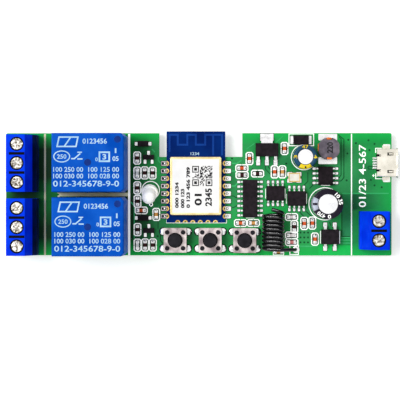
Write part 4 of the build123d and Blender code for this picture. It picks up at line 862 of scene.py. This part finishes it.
# %% Board print
print_level = board_top + 0.05
bracket_size, bracket_corner, bracket_gap, bracket_stroke = (3.20, 1.78), 0.35, 0.14, 0.27
print_rings = [(303.8, 157.4, 3.22, 3.42, 48), (325.0, 203.8, 4.18, 4.40, 48),
               (150.5, 190.2, 2.24, 2.46, 40)]
print_frames = [(0.22, 289.0, 134.0, 313.6, 145.8), (0.22, 289.9, 245.1, 298.5, 254.4),
                (0.16, 273.3, 252.0, 283.7, 254.9)]
edge_lines = [(0.55, (129.0, 133.9), (129.0, 255.2)), (0.28, (351.4, 133.9), (351.4, 255.2))]
line_width = 0.18
line_routes = [[(166.6, 219.6), (166.6, 222.9), (226.6, 222.9), (226.6, 219.6)],
               [(375.4, 153.0), (375.4, 148.4), (381.6, 148.4)],
               [(375.4, 173.4), (375.4, 178.8), (385.8, 178.8)],
               [(372.2, 175.6), (374.2, 175.6)], [(373.2, 174.4), (373.2, 176.8)],
               [(320.4, 230.8), (320.4, 243.4)], [(339.6, 230.8), (339.6, 243.4)],
               [(265.6, 188.6), (265.6, 198.4)], [(285.2, 188.6), (285.2, 198.4)],
               [(306.6, 193.8), (306.6, 203.6)], [(286.4, 193.8), (286.4, 203.6)],
               [(321.0, 185.4), (330.0, 185.4)], [(246.0, 218.0), (254.4, 218.0)]]
figures_box = (358.7, 144.8, 365.8, 207.1)
cream_lines = [(0.5, 0, (44.5, 133.9), (44.5, 255.2)), (0.95, 0, (59.8, 194.5), (127.8, 194.5)),
               (0.5, 0.002, (60.2, 194.0), (57.4, 192.2)), (0.5, 0.004, (60.2, 195.0), (57.4, 196.8))]


def brackets(px, py, turn, level):
    """Two brackets with cut corners that face each other across a small part."""
    half_x, half_y = np.array(bracket_size) / 2
    made = []
    for side in (-1, 1):
        half = [(side * bracket_gap / 2, half_y), (side * (half_x - bracket_corner), half_y),
                (side * half_x, half_y - bracket_corner)]
        route = half + [(x, -y) for x, y in half[::-1]]
        made.append(moved(ribbon(route, bracket_stroke, film_low, level), *spot(px, py), 0, turn))
    return made


marks = [ribbon(px_route(route), width, film_low, print_level) for width, *route in edge_lines]
for i, (px, py, turn, kind) in enumerate(chip_places):
    if (px, py) != without_brackets:
        marks += brackets(px, py, turn, print_level + (i % 12) * level_step)
marks += [ring(*spot(px, py), inner, outer, film_low, print_level + 0.005, sides)
          for px, py, inner, outer, sides in print_rings]
marks += [ribbon(px_route([(left, top), (right, top), (right, bottom), (left, bottom)]), width, film_low,
                 print_level + 0.006, True) for width, left, top, right, bottom in print_frames]
marks += [ribbon(px_route(route), line_width, film_low, print_level + 0.004) for route in line_routes]
marks.append(px_words("01/23 4-567", figures_box, film_low, print_level, 90, 0.008))
piece("board_print", marks, "print_white_painted_glow")
# The lines beside and between the relays are cream print; between the relays the warm tint is a painted
# reflection.
cream = [ribbon(px_route(route), width, film_low, print_level + lift)
         for width, lift, *route in cream_lines]
piece("cream_print", cream, "print_cream_and_warm_reflection")

# %% [markdown]
# The radio's own board carries its aerial, a track folded to and fro under blue lacquer, and gold
# half rings along three edges where it is soldered down. The left row of pads is dark at its ends,
# where the solder didn't reach.

# %% Aerial track and edge contacts of the radio
radio_low = radio_top - 0.01
radio_level = radio_top + 0.02
aerial_route = [(169.6, 152.0), (169.6, 134.9), (177.8, 134.9), (177.8, 144.8), (187.4, 144.8),
                (187.4, 134.9), (195.9, 134.9), (195.9, 144.8), (205.3, 144.8), (205.3, 134.9),
                (222.1, 134.9), (222.1, 155.5)]
leg_route = [(213.2, 135.3), (213.2, 155.5)]
aerial_width = 0.5
radio_middle_px, radio_top_px, first_side_px, first_end_px = 196.0, 131.508, 163.5, 177.8
half_width, radio_length, contact_pitch, side_contacts, end_contacts = 15.6 / 2, 24.2, 2.0, 8, 6
landing_out, landing_sides, landing_corner = 0.72, (1.5, 1.15), 0.2
bare_out, bare_sides = 1.06, (0.50, 0.74)
blob_out, blob_squeeze = 0.5, 0.9
bore_radius, wall_radii, side_ring, end_ring = 0.38, (0.36, 0.42), 0.68, 0.66
blob_profile = [(0, 0), (0.44, 0), (0.42, 0.15), (0.32, 0.34), (0.16, 0.46), (0, 0.5)]
radio_figures_box, radio_up = (190.6, 152.2, 199.2, 155.2), 0.8


def half_ring(x, y, facing, inner, outer, low, high):
    """Half of a ring, open on the facing side, carried as a strip along a half circle."""
    angles = np.radians(np.linspace(-90, 90, 13) + facing + 180)
    middle = (inner + outer) / 2
    route = np.column_stack([x + middle * np.cos(angles), y + middle * np.sin(angles)])
    return ribbon(route, outer - inner, low, high)


def edge_contact(x, y, facing, outer):
    """Gold of one edge contact: a half ring on the face and the wall of the half bore below."""
    return [half_ring(x, y, facing, bore_radius, outer, radio_low, radio_level + 0.01),
            half_ring(x, y, facing, *wall_radii, board_top, radio_level)]


aerial = [ribbon(px_route(aerial_route), aerial_width, radio_low, radio_level),
          ribbon(px_route(leg_route), aerial_width, radio_low, radio_level - level_step)]
piece("aerial_track", aerial, "aerial_blue")
radio_x = spot(radio_middle_px, 0)[0]
first_y = spot(0, first_side_px)[1]
radio_bottom = spot(0, radio_top_px)[1] - radio_length
contacts, landing, blobs, bare_ends = [], {-1: [], 1: []}, [], []
for i in range(side_contacts):
    y = first_y - i * contact_pitch
    for side, facing in ((-1, 180), (1, 0)):
        x = radio_x + side * half_width
        contacts += edge_contact(x, y, facing, side_ring)
        wide, deep = landing_sides
        pad_x = x + side * landing_out
        landing[side].append(plate(pad_x, y, wide, deep, film_low, pad_level, landing_corner))
        rims.append(plate(pad_x, y, wide + 2 * clearance, deep + 2 * clearance, film_low,
                          clearance_level + (i % 7) * level_step, landing_corner))
        blobs.append(turned_form(blob_profile, x + side * blob_out, y, board_top, 16, blob_squeeze))
    bare_ends.append(plate(radio_x - half_width - bare_out, y, *bare_sides, film_low, pad_level + 0.01, 0.08))
for i in range(end_contacts):
    contacts += edge_contact(spot(first_end_px, 0)[0] + i * contact_pitch, radio_bottom, -90, end_ring)
piece("edge_contacts", contacts, "gold")
piece("landing_pad_ends", bare_ends, "black")
piece("left_landing_pads", landing[-1], "dull_tin")
piece("right_landing_pads", landing[1], "solder")
piece("radio_solder_blobs", blobs, "solder", smooth=True)
# Painted shade: the clearances round the pads are darker than bare board.
piece("shaded_pad_clearances", rims, "shade_green")
piece("radio_print", [px_words("1234", radio_figures_box, radio_low, radio_level, 0, 0.015, radio_up)],
      "print_pale")

# %% [markdown]
# The label on the shield is generic: plain figures and a patch of random small squares with a
# square mark in three of its corners, in dark grey.

# %% Label print
shield_tall, label_thick = 2.4, 0.08
label_top = radio_top + shield_tall + label_thick
label_up = label_top - board_top
ink_low, ink_high = label_top - 0.01, label_top + 0.012
label_lines = [("000 1234", (175.1, 182.3, 178.6, 208.0), 0.05),
               ("000 123", (180.8, 188.9, 184.4, 208.0), 0.05),
               ("0 123 456 789", (186.3, 167.0, 190.1, 208.0), 0.05),
               ("01", (194.5, 193.8, 201.9, 205.6), 0.035), ("2345", (205.2, 188.4, 211.9, 206.2), 0.035)]
patch_box, cells_a_side, cell_share = (192.2, 165.8, 212.4, 186.2), 21, 0.96
ink = [px_words(text, box, ink_low, ink_high, 90, bold, label_up) for text, box, bold in label_lines]
patch_x, patch_y, patch_wide = px_box(patch_box, label_up)[:3]
cell = patch_wide / cells_a_side
chance = np.random.default_rng(7).random((cells_a_side, cells_a_side)) > 0.5
corner_mark = np.zeros((8, 8), bool)
corner_mark[:7, :7] = True
corner_mark[1:6, 1:6] = False
corner_mark[2:5, 2:5] = True
chance[:8, :8], chance[:8, -8:], chance[-8:, :8] = corner_mark, corner_mark[:, ::-1], corner_mark[::-1]
for i, row in enumerate(np.pad(chance, ((0, 0), (1, 1))).astype(int)):
    for start, end in np.flatnonzero(np.diff(row)).reshape(-1, 2):
        x = patch_x + (i + 0.5 - cells_a_side / 2) * cell
        y = patch_y + ((start + end) / 2 - cells_a_side / 2) * cell
        ink.append(plate(x, y, cell * cell_share, (end - start) * cell, ink_low, ink_high))
piece("label_print", ink, "print_black")

# %% [markdown]
# The relay covers are printed in pale blue: signs of a coil and of a switch, and rows of plain figures below.
# The ink lies on the moulded top as a film. Two moulding dimples are painted a shaded blue, as painted shade
# in their hollows. A row of lines is a width, how many steps it lies higher, whether it closes, and its
# route.

# %% Relay print
cover_up = 15.4
cover_top = board_top + cover_up
cover_low, cover_level = cover_top - 0.01, cover_top + 0.015
lower_shift_px, lower_shift_py = 1.2, 65.2
cover_lines = [(0.36, 0, True, (58.6, 137.0), (77.6, 137.0), (75.6, 146.4), (56.6, 146.4)),
               (0.36, 1, False, (63.8, 146.4), (70.4, 137.0)),
               (0.34, 2, False, (70.8, 158.6), (74.0, 158.6), (80.0, 153.4)),
               (0.34, 2, False, (77.0, 158.9), (82.2, 158.9)),
               (0.3, 2, False, (77.0, 152.2), (81.6, 152.2)),
               (0.42, 0, True, (99.2, 152.2), (109.0, 152.2), (109.0, 161.2), (99.2, 161.2))]
cover_figures = [("0123456", (82.2, 138.4, 106.6, 143.6), 0.016), ("250", (56.6, 154.2, 66.0, 158.7), 0.016),
                 ("3", (102.2, 154.0, 106.0, 159.6), 0.03), ("1", (114.6, 148.2, 116.2, 153.0), 0.02),
                 ("0", (95.0, 157.4, 97.6, 161.2), 0.02), ("05", (112.2, 156.2, 118.4, 161.0), 0.02),
                 ("100 250 00", (52.8, 167.0, 82.8, 171.8), 0.012),
                 ("100 125 00", (88.0, 167.0, 118.8, 171.8), 0.012),
                 ("100 030 00", (52.8, 173.6, 82.8, 178.4), 0.012),
                 ("100 028 00", (88.0, 173.6, 118.8, 178.4), 0.012),
                 ("012-345678-9-0", (52.6, 180.6, 118.8, 186.6), 0.012)]
oval_px, oval_halves, oval_stroke = (61.3, 156.4), (2.05, 1.42), 0.26
relay_x, relay_ys = -28.893, (7.993, -8.656)
dimple_offsets = ((0, 0), (7.7, 5.95))
dimple_profile = [(0, -0.14), (0.88, -0.14), (0.88, -0.02), (0, -0.02)]
signs = [ribbon(px_route(route, cover_up), width, cover_low, cover_level + steps * level_step, closed)
         for width, steps, closed, *route in cover_lines]
signs += [px_words(text, box, cover_low, cover_level, 0, bold, cover_up)
          for text, box, bold in cover_figures]
oval = np.column_stack([np.cos(circle(36)), np.sin(circle(36))]) * oval_halves + spot_up(*oval_px, cover_up)
signs.append(ribbon(oval, oval_stroke, cover_low, cover_level + level_step, True))
nearer = (eye_height - cover_up) / eye_height
x_shift, y_shift = lower_shift_px * along_share * nearer, -lower_shift_py * across_share * nearer
piece("relay_print", signs + [moved(sign, x_shift, y_shift) for sign in signs], "print_pale")
dimples = [turned_form(dimple_profile, relay_x + dx, relay_y + dy, cover_top, 28)
           for relay_y in relay_ys for dx, dy in dimple_offsets]
piece("dimple_floors", dimples, "dimple_shade_blue")

# %% [markdown]
# The grooves between the poles of a terminal block, and the gap round each screw, are so deep and narrow that
# they show black. Their shade is painted: a dark strip lies in each groove and a dark ring round each screw.
# The foot of the sloped face lies in the shade of the relay beside it, painted as a deep blue film.

# %% Shadows in the terminal blocks
housing_top = board_top + 10.0
pole_pitch = 5.0
blocks = ((-47.905, 7.940, 3), (-47.905, -8.815, 3), (46.455, -9.706, 2))
groove_sides, groove_depths = (4.06, 0.66), (1.5, 0.12)
well_radii, well_depths = (1.60, 1.86), (1.2, 0.06)
slope_foot, slope_run, slope_rise, step = (7.1, 5.2), 2.1, 4.8, 0.4
shade_share, shade_thickness, shade_margin = 0.26, 0.03, 0.05
grooves = [plate(x, y + (count / 2 - 1 - i) * pole_pitch, *groove_sides,
                 *(housing_top - depth for depth in groove_depths))
           for x, y, count in blocks for i in range(count - 1)]
piece("groove_shadows", grooves, "recess_shade_black")
for name in ("terminal_housing_upper", "terminal_housing_lower"):
    (left, near, _), (_, far, _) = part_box(name)
    x, z = left / mm + slope_foot[0], board_top + slope_foot[1]
    fold = [(x - slope_run * shade_share, z + slope_rise * shade_share), (x, z), (x + step, z - step),
            (x + step, board_top + step)]
    sheet, faces = ribbon(fold, shade_thickness, near / mm + shade_margin, far / mm - shade_margin)
    piece(name + "_shade", [(sheet[:, [0, 2, 1]], faces)], "shaded_blue")
wells = [ring(x, y + ((count - 1) / 2 - i) * pole_pitch, *well_radii,
              *(housing_top - depth for depth in well_depths), 36)
         for x, y, count in blocks for i in range(count)]
piece("well_shadows", wells, "recess_shade_black")

# %% [markdown]
# The coil is insulated wire wound on itself, turn against turn. Its solid is drawn thinner, so
# that the turns stay apart there. Here the wire has its full cover: a circle carried along one
# line, which rises from the board, bends over and winds on towards the front row of pins.

# %% Coil of insulated wire
coil_x = spot(273.05, 0)[0]
coil_pad_x, coil_pad_y = spot(*coil_pad)
coil_radius, wire_radius, coil_pitch, coil_turns = 2.52, 0.50, 1.064, 9
coil_gap, solid_wire, solid_radius = 0.35, 0.31, 2.5
lead_below, lead_lap = 0.6, 0.3
coil_z = board_top + coil_gap + solid_wire + solid_radius
start_angle, free_angle, extra_climb, bend_reach = 46.0, 100.0, 0.9, 1.1
total_angle = coil_turns * 360 + free_angle - start_angle
steps_per_turn = 32


def coil_line():
    """Line of the coil: a helix about Y whose climb speeds up in the last half turn, after a lead."""
    t = np.linspace(0, total_angle, int(steps_per_turn * total_angle / 360))
    phi = np.radians(start_angle + t)
    late = np.clip(t - (total_angle - 180), 0, None) / 180
    climb = coil_pitch * (t / 360 + late**2 * extra_climb)
    helix = np.column_stack([coil_x + coil_radius * np.cos(phi), coil_pad_y + climb,
                             coil_z + coil_radius * np.sin(phi)])
    way = np.array([-math.sin(phi[0]), 0, math.cos(phi[0])])
    corner = helix[0] - way * (helix[0, 0] - coil_pad_x) / way[0]
    share = np.linspace(0, 1, 9)[:, None]
    before, after = corner - [0, 0, bend_reach], corner + way * bend_reach
    curve = (1 - share)**2 * before + 2 * share * (1 - share) * corner + share**2 * after
    foot = [[coil_pad_x, coil_pad_y, z] for z in (board_top - lead_below, before[2] - lead_lap)]
    return np.vstack([foot, curve, helix])


winding = piece("coil_winding", [tube(coil_line(), wire_radius)], "wire_cover",
                smooth=True)
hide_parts("coil_aerial")
streaked.objects.link(winding)

# %% [markdown]
# The sleeve of an electrolytic capacitor has a pale stripe down its minus side, with a dark dash
# on it, and small figures on its rolled lip. A stripe is a patch of the sleeve's own surface,
# lifted by a hair: an arc of the barrel, carried over the lip onto the top.

# %% Capacitor sleeves
large_can = (*spot(325.7, 203.8), 4.0, 12.0)
small_can = (*spot(304.5, 157.4), 3.15, 7.0)
lip_bend, patch_low, patch_in = 0.62, 0.4, -0.02
can_foot = board_top + 0.3
patches = (("small_sleeve_skin", small_can, 90.0, 146.0, 0.012, 1.02, "sleeve_teal"),
           ("large_capacitor_stripe", large_can, 180.0, 27.0, 0.018, 1.30, "stripe_grey"),
           ("small_capacitor_stripe", small_can, -90.0, 33.0, 0.018, 1.02, "print_yellow"))
dashes = ((large_can, -3.35, 0, 1.15, 0.6, 0.1), (small_can, 0, -2.72, 0.42, 0.5, 0.08))
figures = (("large_capacitor_figures", large_can, 3.28, 1.0, "print_white_painted_glow",
            (("35", 10.0, 1.4), ("10", 42.0, 1.3), ("470", -122.0, 2.2), ("0", -84.0, 0.8))),
           ("small_capacitor_figures", small_can, 2.62, 0.9, "print_yellow",
            (("4", 0.0, 1.0), ("47", 92.0, 1.7), ("3", 180.0, 0.9))))


def sleeve_patch(can, facing, half_angle, lift, inward):
    """Patch of a sleeve: profile of barrel, lip and top edge, spun through twice the half angle."""
    x, y, radius, height = can
    top = can_foot + height
    bend = np.radians(np.linspace(0, 90, 6))
    lip = np.column_stack([radius - lip_bend + lip_bend * np.cos(bend),
                           top - lip_bend + lip_bend * np.sin(bend)])
    profile = np.vstack([(radius, can_foot + patch_low), lip, (radius - inward, top)])
    n, m = len(profile), max(3, int(half_angle / 4))
    angles = np.radians(np.linspace(facing - half_angle, facing + half_angle, m))
    outwards = np.column_stack([np.ones(n), profile[:, 1] > top - 0.4])
    layers = [spun(profile + grow * outwards, angles).reshape(-1, 3) for grow in (patch_in, lift)]
    k = n * m
    cells = net(n, m, False, False)
    faces = [cell[::-1] for cell in cells] + [[i + k for i in cell] for cell in cells]
    rim = list(range(m)) + [r * m + m - 1 for r in range(1, n)]
    rim += [(n - 1) * m + c for c in range(m - 2, -1, -1)] + [r * m for r in range(n - 2, 0, -1)]
    faces += [[a, b, b + k, a + k] for a, b in zip(rim, rim[1:] + rim[:1])]
    return moved((np.vstack(layers), faces), x, y)


for name, can, *shape, finish_name in patches:
    piece(name, [sleeve_patch(can, *shape)], finish_name, smooth=True)
dash_parts = [plate(x + dx, y + dy, wide, deep, can_foot + height - 0.05, can_foot + height + 0.04, corner)
              for (x, y, radius, height), dx, dy, wide, deep, corner in dashes]
piece("stripe_dashes", dash_parts, "sleeve")
for name, (x, y, radius, height), out, tall, finish_name, texts in figures:
    top = can_foot + height
    parts = [words(text, x + out * math.cos(math.radians(angle)), y + out * math.sin(math.radians(angle)),
                   top - 0.01, top + 0.035, tall, length, angle - 90, 0.02)
             for text, angle, length in texts]
    piece(name, parts, finish_name)

# %% [markdown]
# The ground top of the inductor carries its value as plain figures, and its copper wire shows in
# the notches of the cap and at one side. The crystal's lid is seamed to its base with a gold rim.

# %% Inductor figures and crystal rim
inductor_top = 7.7
inductor_box = (327.0, 142.2, 333.0, 153.4)
inductor_x, inductor_y = 33.778, 11.850
glints = ((0, 2.62, 1.3, 0.5, 7.1), (0.1, -2.62, 1.3, 0.5, 7.1), (-2.66, 0.3, 0.45, 2.0, 6.5))
glint_low = 5.0
crystal_px, rim_halves, rim_width, rim_low, rim_high = (294.35, 177.45), (1.42, 1.06), 0.24, 3.95, 4.012
piece("inductor_figures", [px_words("220", inductor_box, inductor_top - 0.21, inductor_top + 0.012,
                                    90, 0.035, inductor_top - board_top)], "print_black")
wire_glints = [plate(inductor_x + dx, inductor_y + dy, wide, deep, glint_low, top, 0.1)
               for dx, dy, wide, deep, top in glints]
piece("inductor_wire_ends", wire_glints, "copper")
rim_route = corner_signs * rim_halves + spot(*crystal_px)
piece("crystal_rim", [ribbon(rim_route, rim_width, rim_low, rim_high, True)], "gold")

# %% [markdown]
# Latch windows and the ends of the folded seam pierce the top of the socket shell. Dark plates over them are
# painted shade inside the openings.

# %% Socket openings
socket_up = 2.6
socket_top = board_top + socket_up
window_low, window_level = socket_top - 0.05, socket_top + 0.012
openings = [(387.2, 152.6, 392.2, 155.2), (387.2, 170.4, 392.2, 173.0),
            (375.9, 154.3, 379.4, 156.6), (375.9, 169.4, 379.4, 171.6)]
latches = [(388.6, 153.2, 392.4, 154.6), (388.6, 171.0, 392.4, 172.4)]
piece("socket_window_shade", [px_plate(box, window_low, window_level, 0.0, socket_up) for box in openings],
      "recess_shade_black")
piece("socket_latches", [px_plate(box, window_low, window_level + 0.01, 0.1, socket_up) for box in latches],
      "socket_steel")
